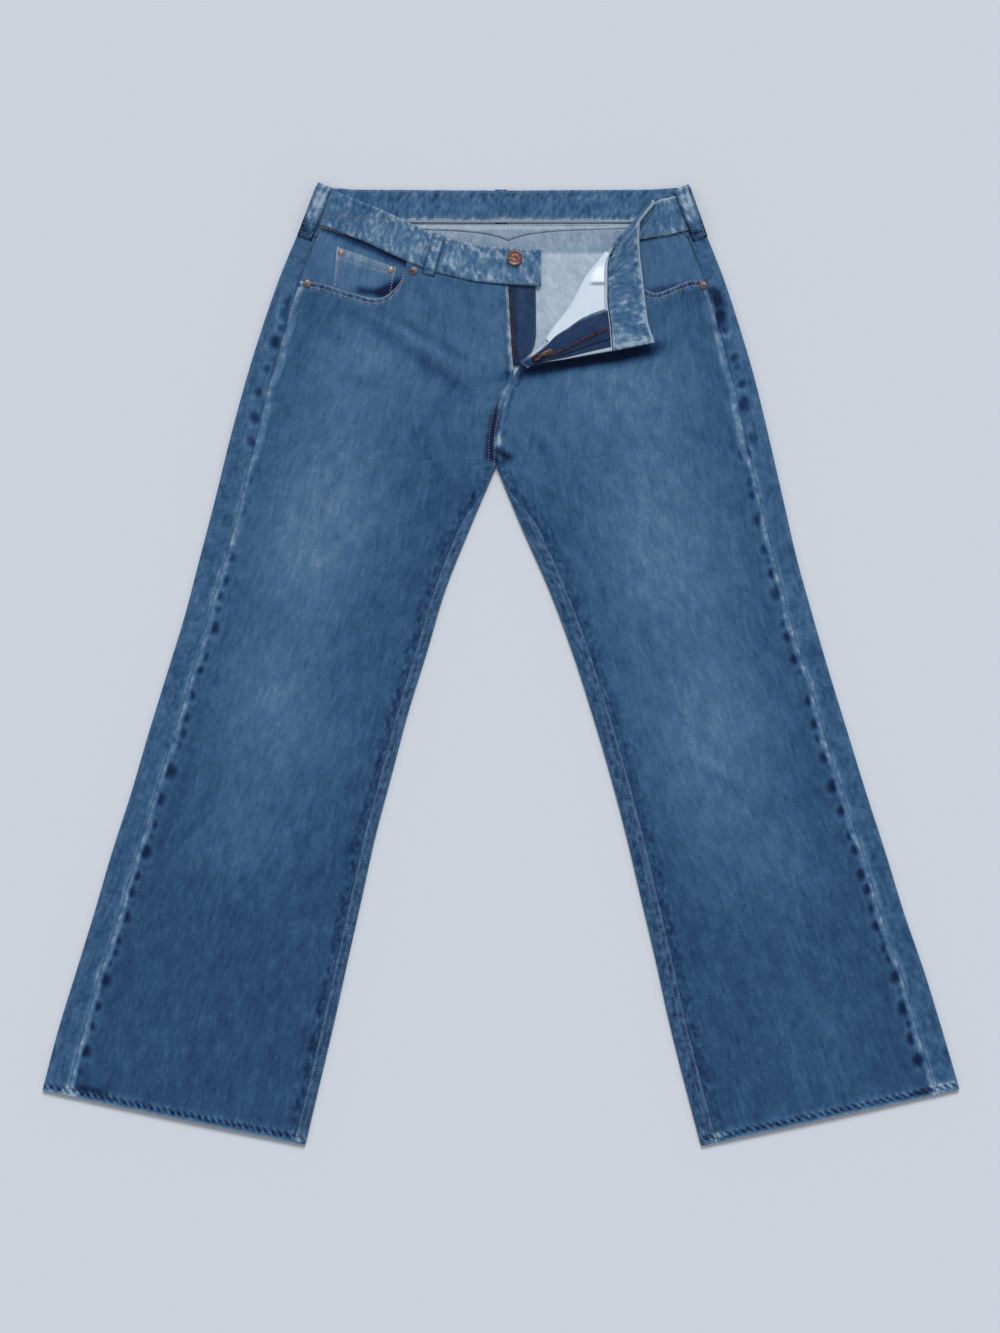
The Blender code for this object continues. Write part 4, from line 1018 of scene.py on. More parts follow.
for side in LEG_ROWS:
    panel = bmesh.new()
    lay_grid(panel, COLUMNS, DOWN_LINES, functools.partial(front_spot, side), ACROSS, DOWN, side == "left")
    if side == "left":
        reaches = knots_to_shares([(0, 0.0), (10, 1.0), (CORNER_LINES, 2.0)], CORNER_LINES)
        lay_grid(panel, CORNER_LINES, CREASE_GRID_ROWS, corner_spot, reaches, turned_over=True)
        bmesh.ops.remove_doubles(panel, verts=panel.verts, dist=0.02 * MM)
    make_cloth("front_" + side, panel, DENIM, TWO_SIDES)

# %% [markdown]
# ## The backs
#
# Each back panel comes round both edges of its leg on to the front, so its section runs from the side
# seam over the outer fold, flat underneath, and up over the inner fold to the inseam. Laid flat, its
# underside is level.

# %% The backs
ARC_LINES = 8
WRAP_LINES = 14
UNDER_LINES = 24
INSEAM_LINES = 10
BACK_ROWS = 380
YOKE_ROWS = 8
YOKE_LEG_ROWS = (0.04, 0.98)
YOKE_DEPTH = 17.0
YOKE_CUT_TOP = 1100
BACK_CUT_START = 25


BackPoint = namedtuple("BackPoint", "run point zone reach", defaults=[0.0])


def back_section(section):
    """Points of the back panel's outer face across a leg, with their distance along the cut and zone."""
    radius = section.radius
    line = []
    run = 0.0
    for k in range(WRAP_LINES):
        s = mix(section.wrap, radius, k / WRAP_LINES)
        line.append(BackPoint(section.wrap - s, section.point(s, 2 * radius), "outer wrap"))
    run = section.wrap - radius
    for k in range(ARC_LINES):
        turn = math.radians(90 + 180 * k / ARC_LINES)
        point = section.point(radius + radius * math.cos(turn), radius + radius * math.sin(turn))
        line.append(BackPoint(run + math.pi * radius * k / ARC_LINES, point, "outer fold"))
    run += math.pi * radius
    start = section.width - radius * math.sin(min(section.bend, math.pi / 2))
    level = (math.pi - section.bend) * radius
    for k in range(UNDER_LINES):
        s = mix(radius, start - level, k / UNDER_LINES)
        line.append(BackPoint(run + s - radius, section.point(s, 0), "underside"))
    run += start - level - radius
    for k in range(ARC_LINES + 1):
        length = math.pi * radius * k / ARC_LINES
        turn = max(length - level, 0) / radius
        s = start - level + min(length, level) + radius * math.sin(turn)
        point = section.point(s, radius - radius * math.cos(turn))
        line.append(BackPoint(run + length, point, "inner fold"))
    run += math.pi * radius
    for k in range(1, INSEAM_LINES + 1):
        reach = section.inner_flat * k / INSEAM_LINES
        s = start + radius * math.sin(section.bend) + reach * math.cos(section.bend)
        z = radius - radius * math.cos(section.bend) + reach * math.sin(section.bend)
        line.append(BackPoint(run + reach, section.point(s, z), "inner wrap", reach))
    return line


BACK_LINES = WRAP_LINES + ARC_LINES + UNDER_LINES + ARC_LINES + INSEAM_LINES


@functools.lru_cache(maxsize=None)
def back_line(side, row):
    return back_section(section_at(side, row))


def back_spot(side, first, last, u, v):
    row = mix(first, last, v)
    if row > CROTCH:
        down = SEAM_DOWN[side] + (row - CROTCH) * ROW_LENGTH
    else:
        down = (row - 2) / (CROTCH - 2) * SEAM_DOWN[side]
    run, laid, zone, reach = back_line(side, round(row, 6))[round(u * BACK_LINES)]
    point = laid.copy()
    above = (HEM - row) * ROW_LENGTH
    wash = mix(0.55, 0.46, row / HEM) + fold_sum(WORN_SPOTS, point.x, point.y)
    mottle = 0.24 + hem_mottle(above)
    section = section_at(side, round(row, 6))
    hem_height, hem_wash = hem_relief(above, run)
    if zone == "outer wrap":
        relief, wash = seam_relief(side, -run, section.front_point(0).y, wash)
        point.z += relief - 0.35 * hump(run, 2.4)
        point.z += hem_height
    if zone in ("outer wrap", "outer fold"):
        wash += 0.05 * hump(section.wrap - run, 4.0)
        wash += 0.07 * cloud(down / 14, run / 30, 5)
        wash += hem_wash
    elif zone == "inner wrap":
        wash += 0.14 * hump(reach - section.inner_flat, 3) - 0.08
        wash += hem_wash
        mottle += 0.25
    cut = ((run - BACK_CUT_START) * LEG_SIDE[side], CUT_TOP - down)
    return Spot(point, cut, wash, mottle, hem_rope(above))


def yoke_spot(side, u, v):
    """The strip of yoke above the back panel. On the front it follows the band's edge."""
    spot = back_spot(side, *YOKE_LEG_ROWS, u, v)
    if u * BACK_LINES <= WRAP_LINES:
        head = mix(*YOKE_TOP[side], u * BACK_LINES / WRAP_LINES)
        foot = back_spot(side, *YOKE_LEG_ROWS, u, 1.0).point.y
        spot.point.y = mix(head, foot, v)
    return Spot(spot.point, (spot.cut[0], YOKE_CUT_TOP - YOKE_DEPTH * v), spot.wash, spot.mottle)


for side in LEG_ROWS:
    turned = side == "right"
    grid_cloth("back_" + side, BACK_LINES, BACK_ROWS, functools.partial(back_spot, side, 1.0, HEM), DENIM,
               TWO_SIDES, turned_over=turned)
    grid_cloth("yoke_" + side, BACK_LINES, YOKE_ROWS, functools.partial(yoke_spot, side), DENIM, TWO_SIDES,
               turned_over=turned)

# %% [markdown]
# ## The waistband
#
# The band is one long strip. It turns over at both side seams, runs flat across the back, and its left
# end turns back over the crease. It is laid as pairs of edge points, one pair for every few millimetres
# of its length, and gathered along both edges by its stitches.

# %% The waistband's line
BAND_TURN_STEPS = 8


def strip_share(row):
    """How far down the folded strip a row lies, 0 at the crease and 1 at its end."""
    first = BAND_STRIP[0]
    last = BAND_STRIP[-1]
    return (first.low_y - row.low_y) / (first.low_y - last.low_y)


def band_lines():
    """Upper and lower edge points of the waistband's middle plane, from the button end to the other end."""
    lines = []

    def lay(rows, z):
        for row in rows:
            lines.append((Vector((row.top_x, row.top_y, z)), Vector((row.low_x, row.low_y, z))))

    def turn_over(row, sign, low_z, high_z, rising):
        outward = side_step(flat((row.top_x - row.low_x, row.top_y - row.low_y))) * sign
        radius = (high_z - low_z) / 2
        inset = radius + BAND / 2
        for k in range(BAND_TURN_STEPS + 1):
            angle = math.pi * k / BAND_TURN_STEPS
            height = -math.cos(angle) if rising else math.cos(angle)
            shift = outward * (radius * math.sin(angle) - inset)
            z = (high_z + low_z) / 2 + radius * height
            lines.append((raised(flat((row.top_x, row.top_y)) + shift, z),
                          raised(flat((row.low_x, row.low_y)) + shift, z)))

    lay(BAND_RIGHT_FRONT, BAND_FRONT_Z)
    turn_over(BAND_RIGHT_SIDE, -1, BAND_BACK_Z, BAND_FRONT_Z, False)
    lay(BAND_BACK, BAND_BACK_Z)
    turn_over(BAND_LEFT_SIDE, 1, BAND_BACK_Z, BAND_FRONT_Z, True)
    lay(BAND_LEFT_FRONT, BAND_FRONT_Z)
    strip_z = BAND_FRONT_Z + 2 * BAND_CREASE_RADIUS
    turn_over(BAND_CREASE, -1, BAND_FRONT_Z, strip_z, True)
    for row in BAND_STRIP:
        low_z = strip_z + CORNER_RISE * strip_share(row) ** 1.4
        top = Vector((row.top_x, row.top_y, low_z + row.tilt))
        lines.append((top, Vector((row.low_x, row.low_y, low_z))))
    return lines


BAND_STEP = 2.0


def even_lines(lines):
    """The same line pairs every few millimetres, with their corners softened."""
    dense = []
    for (top, low), (next_top, next_low) in zip(lines, lines[1:]):
        length = ((next_top + next_low) - (top + low)).length / 2
        steps = max(1, round(length / BAND_STEP))
        for k in range(steps):
            dense.append((top.lerp(next_top, k / steps), low.lerp(next_low, k / steps)))
    dense.append(lines[-1])
    for _ in range(2):
        soft = [dense[0]]
        for before, here, after in zip(dense, dense[1:], dense[2:]):
            soft.append(tuple((before[j] + here[j] * 2 + after[j]) / 4 for j in (0, 1)))
        dense = soft + [dense[-1]]
    return dense


BAND_LINE = even_lines(band_lines())
BAND_RUN = [0.0]
for (top, low), (next_top, next_low) in zip(BAND_LINE, BAND_LINE[1:]):
    BAND_RUN.append(BAND_RUN[-1] + ((next_top + next_low) - (top + low)).length / 2)
BAND_ACROSS = 24
STRIP_RUN = 716.0
FRONT_RUN = 202.0


def band_spot(u, v):
    """u runs along the band and v from its top edge to its lower edge."""
    k = round(u * (len(BAND_LINE) - 1))
    top, low = BAND_LINE[k]
    after = BAND_LINE[min(k + 1, len(BAND_LINE) - 1)]
    before = BAND_LINE[max(k - 1, 0)]
    normal = (top - low).cross((after[0] + after[1]) - (before[0] + before[1])).normalized()
    run = BAND_RUN[k]
    wide = (top - low).length
    down = v * wide
    edge = min(down, wide - down)
    gather = cloud((run + 0.7 * down) / 4.2, edge / 9, 1.0)
    wave = cloud(run / 15, down / 14, 2.0)
    height = (0.38 * gather * hump(edge - 4, 6) + 0.25 * wave) * smooth(edge / 3)
    wash = 0.62 + 0.26 * gather * hump(edge - 5, 8) + 0.14 * wave + 0.12 * hump(edge, 1.8)
    if run > STRIP_RUN:
        at_end = BAND_RUN[-1] - run
        wash += 0.05 + 0.34 * hump(down - 1.2, 2.6) + 0.30 * hump(at_end - 3, 8)
    elif run < FRONT_RUN:
        # On the front, a painted shadow line darkens the band's lower edge, where it stands proud of the
        # pocket facing.
        wash += 0.13 - 0.40 * hump(wide - down, 1.6)
    mottle = 0.36 + 0.12 * hump(edge - 5, 6)
    on_back = top.z < BAND_BACK_Z + 0.2
    if on_back:
        mottle = 0.28
        wash += 0.62 * hump(wide - down, 4.2) - 0.05
    point = top.lerp(low, v) + normal * (BAND / 2 + height)
    return Spot(point, (run, down), wash, mottle, 0.05)


grid_cloth("waistband", len(BAND_LINE) - 1, BAND_ACROSS, band_spot, BAND, [FACE], turned_over=True)
print("waistband", round(BAND_RUN[-1]), "mm round")

# %% [markdown]
# ## Where finished cloth lies
#
# Loops and stitches lie on cloth that is already there. `Ground` drops a plumb line on the finished
# pieces, with their wall, and gives the highest point and its slope.

# %% Where finished cloth lies
Landing = namedtuple("Landing", "point normal")
ABOVE_ALL = 100.0
UNDER_SINK = 0.25
LEG_CLOTH = ["front_right_cloth", "front_left_cloth", "back_right_cloth", "back_left_cloth"]
YOKE_CLOTH = ["yoke_right_cloth", "yoke_left_cloth"]


class Ground:
    """Finished pieces to lie things on. From below, it finds the lowest cloth instead."""

    def __init__(self, names, from_below=False):
        bpy.context.view_layer.update()
        graph = bpy.context.evaluated_depsgraph_get()
        self.trees = [BVHTree.FromObject(bpy.data.objects[name], graph) for name in names]
        self.sign = -1.0 if from_below else 1.0
        self.sink = Vector((0, 0, UNDER_SINK if from_below else 0))

    def land(self, x, y):
        """The first cloth that a plumb line meets at a place, and the way it faces."""
        start = Vector((x, y, ABOVE_ALL * self.sign)) * MM
        hits = [tree.ray_cast(start, Vector((0, 0, -self.sign))) for tree in self.trees]
        hits = [hit for hit in hits if hit[0] is not None]
        if not hits:
            return None
        point, normal, _, _ = max(hits, key=lambda hit: hit[0].z * self.sign)
        return Landing(point / MM + self.sink, normal * (1 if normal.z * self.sign > 0 else -1))

    def top(self, x, y, reach):
        """Highest point within a reach of a place."""
        best = 0.0
        for k in range(9):
            turn = k * math.pi / 4
            away = reach if k else 0.0
            found = self.land(x + away * math.cos(turn), y + away * math.sin(turn))
            if found:
                best = max(best, found.point.z)
        return best


# %% [markdown]
# ## Pockets
#
# The hip pieces behind the pocket mouths and the coin pocket are smooth cloth that the front shielded, so
# they have faded evenly. Down inside the gaping mouths, and along the waistband's lower edge on the right,
# shadow is painted into the cloth's colour, nearly black.

# %% Pockets
PiecePlan = namedtuple("PiecePlan", "top bottom left right")
FacingPlan = namedtuple("FacingPlan", "band foot")
FACINGS = {
    "right": FacingPlan([(-196, 479), (-150, 463.4), (-103, 441.4), (-88, 434)],
                        [(-228, 408), (-190, 398), (-135, 384), (-84, 396)]),
    "left": FacingPlan([(203, 474.5), (186, 471.4), (160, 467), (136, 463.4)],
                       [(232, 408), (200, 401), (168, 393), (132, 400)]),
}
FACING_SIDE_ROW = 0.9
FACING_SIDE_INSET = 1.5
FACING_Z = 2 * FOLD_RADIUS - SEAT_LIFT
COIN_POCKET = PiecePlan(top=[(-180, 459), (-147.5, 447.5), (-115, 436)],
                        bottom=[(-186, 405), (-154, 396), (-121, 399)],
                        left=[(-180, 459), (-183, 432), (-186, 405)],
                        right=[(-115, 436), (-118, 417.5), (-121, 399)])
BACK_POCKET = PiecePlan(top=[(38, 425), (105, 431), (172, 437)],
                        bottom=[(44, 296), (108, 268), (172, 304)],
                        left=[(38, 425), (41, 360), (44, 296)],
                        right=[(172, 437), (174, 370), (172, 304)])
# Painted shadow inside the gaping pocket mouths, where the front stands away from the cloth behind it.
GAPE_SHADOWS = folds(
    (-142, 409, 97, 40, 11, -0.60), (-121, 414, 62, 34, 14, -0.75), (178, 412, 80, 60, 9, -0.30),
)


def in_pocket(x, y):
    """Wash of the cloth behind the pocket mouths, with painted shadow in the gaping mouths and, on the
    right, under the waistband's lower edge.
    """
    # Painted shadow of the waistband's lower edge, on the right side.
    band_shadow = -0.50 * hump(y - (394.5 - 0.435 * x), 4.0) if x < 0 else 0.0
    return 0.60 + fold_sum(GAPE_SHADOWS, x, y) + 0.05 * cloud(x / 22, y / 22, 9) + band_shadow


def flat_piece(node, lines, columns, rows, height, wash_at, thickness=DENIM, looks=TWO_SIDES,
               turned_over=False, mottle=0.04):
    """A piece of cloth that fills four lines at a height given by its place."""
    place = patch(*lines)
    wide = lines[0].length
    tall = lines[2].length

    def spot_at(u, v):
        point = place(u, v)
        return Spot(raised(point, height(point.x, point.y, u, v)), (u * wide, -v * tall),
                    wash_at(point.x, point.y, u, v), mottle)

    return grid_cloth(node, columns, rows, spot_at, thickness, looks, turned_over=turned_over)


for side, (band_edge, foot) in FACINGS.items():
    beside = section_at(side, FACING_SIDE_ROW).front_point(0)
    beside = beside - Vector((LEG_SIDE[side] * FACING_SIDE_INSET, 0))
    lines = (Path(band_edge), Path(foot), Path([band_edge[0], beside, foot[0]]),
             Path([band_edge[-1], mix(flat(band_edge[-1]), flat(foot[-1]), 0.5), foot[-1]]))
    flat_piece("pocket_facing_" + side, lines, 44, 32,
               lambda x, y, u, v: lift(y) + FACING_Z + 0.25 * cloud(x / 14, y / 14, 4),
               lambda x, y, u, v: in_pocket(x, y), turned_over=side == "left")

COIN_LEVEL = FACING_Z + GAP + DENIM
COIN_WIDTH = 68
COIN_LENGTH = 50
BACK_POCKET_WIDTH = 134
BACK_POCKET_LENGTH = 140


def coin_height(x, y, u, v):
    return lift(y) + COIN_LEVEL + 0.5 * hump(v * COIN_LENGTH - 5, 5)


def coin_wash_and_shade(x, y, u, v):
    edge = min(u, 1 - u) * COIN_WIDTH
    worn = 0.16 * hump(edge, 2.2) + 0.14 * (1 - smooth((v * COIN_LENGTH - 11) / 3))
    return in_pocket(x, y) + 0.06 + worn - 0.08 * hump(v * COIN_LENGTH - 9, 2)


def back_pocket_wash(x, y, u, v):
    worn_sides = hump(min(u, 1 - u) * BACK_POCKET_WIDTH, 3)
    return 0.5 + 0.16 * worn_sides + 0.1 * hump((1 - v) * BACK_POCKET_LENGTH, 4)


def back_pocket_lines(sign):
    """The four lines of a back pocket, whose foot runs straight to its point."""
    plan = PiecePlan(*[[(sign * x, y) for x, y in line] for line in BACK_POCKET])
    return Path(plan.top), Path(plan.bottom, 1), Path(plan.left), Path(plan.right)


flat_piece("coin_pocket", [Path(line) for line in COIN_POCKET], 40, 30, coin_height, coin_wash_and_shade)
for side, sign in LEG_SIDE.items():
    flat_piece("back_pocket_" + side, back_pocket_lines(sign), 46, 50, lambda x, y, u, v: 0.0,
               back_pocket_wash, turned_over=side == "left", mottle=0.10)

# %% [markdown]
# ## The fly
#
# The shield under the right front and the facing on the folded corner were hidden from the wash, so they
# are nearly the dye's first colour. Both carry a zip tape.

# %% The fly
SHIELD = 1.6
SHIELD_WIDTH = 38
BAG = 1.0
TAPE = 0.8
TAPE_WIDTH = 7.0
TAPE_LENGTH = 85
TAPE_WASH = 0.3
RIGHT_TAPE_TOP = 2 * FOLD_RADIUS - DENIM + TAPE
FLAP_WIDTH = 75
FLAP_LENGTH = 130
FLY_SHIELD = PiecePlan(top=[(-2, 418), (18, 417.5), (38, 417)],
                       bottom=[(5, 330), (15, 328), (25, 329)],
                       left=[(-2, 418), (2, 370), (5, 330)],
                       right=[(38, 417), (38.5, 380), (37, 352), (25, 329)])
SHIELD_LEVEL = 2 * FOLD_RADIUS - DENIM - GAP
UNWASHED_RAMP = [
    (0.00, srgb(20, 27, 50)),
    (0.45, srgb(35, 56, 89)),
    (0.75, srgb(58, 76, 108)),
    (1.00, srgb(110, 124, 148)),
]
UNWASHED = denim("unwashed_denim", ramp=UNWASHED_RAMP)
flat_piece("fly_shield", [Path(line) for line in FLY_SHIELD], 22, 44,
           lambda x, y, u, v: lift(y) + SHIELD_LEVEL + 0.15 * cloud(x / 8, y / 12, 3),
           lambda x, y, u, v: 0.50 + 0.2 * hump((1 - u) * SHIELD_WIDTH, 1.6) + 0.1 * cloud(x / 6, y / 9, 2),
           SHIELD, [UNWASHED])

FACING_INNER = [(0.0, 0.60), (0.25, 0.52), (0.5, 0.38), (0.7, 0.22), (0.84, 0.06), (0.975, 0.03)]
FACING_LOW = DENIM / 2 + GAP
TAPE_LOW = FACING_LOW + DENIM + GAP
BAG_LOW = DENIM / 2 + BAG_CLEAR


def facing_line(down):
    """Share of the flap where the fly facing's curved edge lies."""
    for (a, start), (b, end) in zip(FACING_INNER, FACING_INNER[1:]):
        if down <= b:
            return mix(start, end, (down - a) / (b - a))
    return FACING_INNER[-1][1]


def on_corner(node, start, end, first, last, columns, rows, height, wash_at, thickness):
    """A piece of cloth lying on the flap, between two lines of shares from the crease."""

    def spot_at(u, v):
        down = mix(first, last, v)
        share = mix(start(down), end(down), u)
        point = corner.flap(share, down, height(share, down))
        cut = (share * FLAP_WIDTH, -down * FLAP_LENGTH)
        return Spot(point, cut, wash_at(u, v, point), 0.06)

    return grid_cloth(node, columns, rows, spot_at, thickness, [UNWASHED])


on_corner("fly_facing", facing_line, lambda down: 0.955, 0.012, 0.97, 30, 56,
          lambda share, down: FACING_LOW + DENIM + 0.12 * cloud(share * 9, down * 14, 1),
          lambda u, v, point: 0.42 + 0.45 * hump(u * 40, 1.6) + 0.12 * cloud(*(point / 7)), DENIM)
on_corner("zip_tape_left", lambda down: 0.78, lambda down: 0.88, 0.02, 0.84, 6, 48,
          lambda share, down: TAPE_LOW + TAPE, lambda u, v, point: TAPE_WASH, TAPE)

tape_near = Path([(x + GAP, y) for x, y in FLY_EDGE])
tape_far = Path([(x + TAPE_WIDTH, y) for x, y in FLY_EDGE])


def tape_spot(u, v):
    share = mix(0.01, 0.9, v)
    point = mix(tape_near.at(share), tape_far.at(share), u)
    cut = (u * TAPE_WIDTH, -v * TAPE_LENGTH)
    return Spot(raised(point, lift(point.y) + RIGHT_TAPE_TOP), cut, TAPE_WASH, 0.05)


grid_cloth("zip_tape_right", 5, 40, tape_spot, TAPE, [UNWASHED])

# %% [markdown]
# ## The white pocket bag
#
# The bag is thin cotton. It comes out over the crease and lies on the folded corner up to the fly facing,
# with one small tuck, whose upper side has a painted highlight and whose foot a painted shadow line.

# %% The white pocket bag
BAG_RAMP = [
    (0.0, srgb(150, 165, 185)),
    (0.5, srgb(206, 219, 232)),
    (1.0, srgb(240, 247, 252)),
]


def cotton(name):
    finish = Finish(name, 0.92, sheen=0.1)
    wash = finish.attribute("wash")
    threads = finish.noise(finish.cut((900.0, 900.0, 1.0)), 1.0, 2.0, 0.6)
    clouds = finish.noise(finish.cut((60.0, 60.0, 1.0)), 1.0, 2.0, 0.5)
    level = wash + (threads - 0.5) * 0.20 + (clouds - 0.5) * 0.20
    finish.feed("Base Color", finish.ramp(finish.clamp(level), BAG_RAMP))
    finish.bump(threads, 0.35, 0.0003)
    return finish.material


COTTON = cotton("pocketing_cotton")
TUCK_START = (94, 417.5)


def bag_spot(u, v):
    """u runs from inside the panel round the crease and over the flap, v down the crease."""
    down = mix(0.04, 0.76, v)
    reach = u * 3
    inner = CREASE_RADIUS + DENIM / 2 + BAG_CLEAR
    if reach < 1:
        back = side_step(corner.axis.along(down)) * -8.0 * (1 - reach)
        point = corner.roll(down, 0, inner + BAG) + back.to_3d()
        return Spot(point, (reach * 8, -down * FLAP_LENGTH), 0.45, 0.0)
    if reach < 2:
        point = corner.roll(down, math.pi * (reach - 1), inner + BAG)
        return Spot(point, (8 + 14 * (reach - 1), -down * FLAP_LENGTH), 0.5, 0.0)
    share = (facing_line(down) - 0.015) * (reach - 2)
    point = corner.flap(share, down, BAG_LOW + BAG)
    over_tuck = smooth((point.x - TUCK_START[0]) / 10)
    step = point.y - TUCK_START[1]
    point.z += 1.5 * over_tuck * smooth(step / 1.6) * (1 - smooth((step - 5) / 16))
    point.z += 0.35 * cloud(point.x / 13, point.y / 17, 8)
    # A painted highlight pales the tuck's upper side, and a painted shadow line darkens the cloth at its
    # foot.
    wash = 0.52 + 0.45 * over_tuck * smooth(step / 2) * (1 - smooth((step - 16) / 8))
    wash -= 0.9 * over_tuck * hump(step + 0.6, 1.5)
    return Spot(point, (22 + share * FLAP_WIDTH, -down * FLAP_LENGTH), wash, 0.0)


BAG_LINES = 66
BAG_ROWS = 70
bag_across = knots_to_shares([(0, 0.0), (6, 1 / 3), (18, 2 / 3), (BAG_LINES, 1.0)], BAG_LINES)
grid_cloth("pocket_bag_left", BAG_LINES, BAG_ROWS, bag_spot, BAG, [COTTON], across=bag_across)

# %% [markdown]
# ## Belt loops
#
# A loop is a strap with folded edges, laid over the waistband, tacked down at both ends and arched
# between.

# %% Belt loops
LOOP = 1.2
LOOP_WIDTH = 13.0
LoopPlan = namedtuple("LoopPlan", "name top low width arch wash")
LOOPS = [
    LoopPlan("belt_loop_front_right", (-68, 471), (-80, 428), 15, 1.6, 0.80),
    LoopPlan("belt_loop_side_right", (-193, 525.9), (-216, 468), 17, 1.6, 0.88),
    LoopPlan("belt_loop_side_left", (198, 524), (219, 467), 17, 1.6, 0.88),
]
LOOP_LINES = 12
LOOP_STEPS = 30
LOOP_LENGTH = 50
HIDDEN_LOOP_STEPS = 20
loop_ground = Ground(LEG_CLOTH + ["waistband_cloth", "coin_pocket_cloth"])


def strap_spot(rows, width, wash, u, v):
    """A strap's upper face through rows of (centre, side direction)."""
    centre, side = rows[round(v * (len(rows) - 1))]
    edge = min(u, 1 - u) * width
    point = centre + side * (u - 0.5) * width
    point.z -= 0.35 * hump(edge, 1.2)
    dye_and_shade = wash - 0.42 * hump(edge - 1.0, 1.6) + 0.10 * cloud(point.x / 5, point.y / 4, 6)
    dye_and_shade -= 0.30 * hump(min(v, 1 - v) * LOOP_LENGTH - 5, 2.5)
    # On the wider side loops, painted shadow darkens the lower part.
    if width > LOOP_WIDTH + 3:
        dye_and_shade -= 0.42 * smooth((v - 0.60) / 0.12)
    return Spot(point, (u * width, -v * LOOP_LENGTH), dye_and_shade, 0.5)


for plan in LOOPS:
    top = flat(plan.top)
    low = flat(plan.low)
    side = side_step(low - top)
    reach = 1.1 * (top - low).length / 14
    rows = []
    for k in range(LOOP_STEPS + 1):
        share = k / LOOP_STEPS
        centre = mix(top, low, share)
        z = max(loop_ground.top(*(centre + side * plan.width * j / 2), reach) for j in (-1, 0, 1)) + GAP
        rows.append([centre, z + plan.arch * math.sin(math.pi * share) + LOOP])
    for _ in range(2):
        heights = [z for _, z in rows]
        for k in range(1, LOOP_STEPS):
            rows[k][1] = max(heights[k], (heights[k - 1] + 2 * heights[k] + heights[k + 1]) / 4)
    strap = [(raised(centre, z), raised(side * -1, 0)) for centre, z in rows]
    spot_at = functools.partial(strap_spot, strap, plan.width, plan.wash)
    grid_cloth(plan.name, LOOP_LINES, LOOP_STEPS, spot_at, LOOP, [FACE], "_strap")

back_strap = [(Vector((0, mix(522, 476, k / HIDDEN_LOOP_STEPS), 0)), Vector((1, 0, 0)))
              for k in range(HIDDEN_LOOP_STEPS + 1)]


def back_loop_spot(u, v):
    spot = strap_spot(back_strap, LOOP_WIDTH, 0.55, u, v)
    return Spot(raised(spot.point, 0.0), spot.cut, spot.wash, spot.mottle)


def folded_loop_spot(u, v):
    """The loop on the outer face of the waistband's folded end, which hides it in the crease."""
    row, after = BAND_STRIP[2:4]
    low_z = BAND_FRONT_Z + 2 * BAND_CREASE_RADIUS + CORNER_RISE * strip_share(row) ** 1.4
    top = Vector((row.top_x, row.top_y, low_z + row.tilt))
    low = Vector((row.low_x, row.low_y, low_z))
    travel = Vector((after.top_x + after.low_x - row.top_x - row.low_x,
                     after.top_y + after.low_y - row.top_y - row.low_y, 0)).normalized()
    down = (top - low).cross(travel).normalized()
    centre = mix(low, top, mix(0.04, 0.96, v)) + travel * LOOP_WIDTH * (u + 0.1)
    return Spot(centre + down * (BAND / 2 + 2 * GAP + LOOP), (u * LOOP_WIDTH, -v * LOOP_LENGTH), 0.55, 0.3)


for node, spot_at, turned in [("belt_loop_back", back_loop_spot, True),
                              ("belt_loop_front_left", folded_loop_spot, False)]:
    grid_cloth(node, LOOP_LINES, HIDDEN_LOOP_STEPS, spot_at, LOOP, [FACE], "_strap", turned_over=turned)

# %% [markdown]
# ## Metal trim
#
# Button, rivets, slider and teeth are worn copper-coloured metal. Turned parts are a half section spun
# round its axis, so their steps and rolled rims are real. The pull tab rides on its own body, because it
# hinges.

# %% Metal


def metal(name, bright, dark, roughness):
    finish = Finish(name, roughness, metallic=0.85)
    blotches = finish.noise(finish.place(), 420.0, 3.0, 0.6)
    finish.feed("Base Color", finish.ramp(blotches, [(0.35, bright), (0.65, dark)]))
    finish.feed("Roughness", blotches * 0.3 + (roughness - 0.1))
    finish.bump(blotches, 0.2, 0.0002)
    return finish.material


COPPER = metal("worn_copper", srgb(152, 116, 106), srgb(82, 62, 62), 0.45)
DULL_COPPER = metal("greyed_copper", srgb(140, 124, 120), srgb(80, 72, 78), 0.5)
PALE_METAL = metal("worn_nickel", srgb(178, 160, 150), srgb(112, 98, 96), 0.45)
TEETH = metal("zip_brass", srgb(108, 68, 68), srgb(50, 38, 46), 0.5)
SLIDER_METAL = metal("dark_slider", srgb(104, 84, 80), srgb(50, 42, 48), 0.45)

RIVET = [(0, 1.9), (1.0, 1.8), (1.4, 1.5), (2.0, 1.15), (3.4, 1.1), (4.2, 0.9), (4.6, 0.5), (4.6, 0)]
COIN_RIVET = [(0, 1.2), (1.1, 1.15), (2.4, 0.9), (3.2, 0.75), (3.6, 0.4), (3.6, 0)]
BUTTON = [(0, 2.75), (1.6, 2.7), (2.2, 3.0), (3.4, 3.05), (4.2, 2.75), (6.0, 2.8), (6.6, 3.1), (7.2, 3.4),
          (7.9, 3.3), (8.4, 2.9), (8.5, 2.4), (7.6, 1.6), (3.5, 1.4), (3.5, 0)]
RivetPlan = namedtuple("RivetPlan", "name outline look")
RIVETS = [
    RivetPlan("rivet_side_right", RIVET, DULL_COPPER),
    RivetPlan("rivet_front_right", RIVET, DULL_COPPER),
    RivetPlan("rivet_side_left", RIVET, DULL_COPPER),
    RivetPlan("rivet_coin_side", COIN_RIVET, PALE_METAL),
    RivetPlan("rivet_coin_front", COIN_RIVET, PALE_METAL),
]
SPIN_STEPS = 40


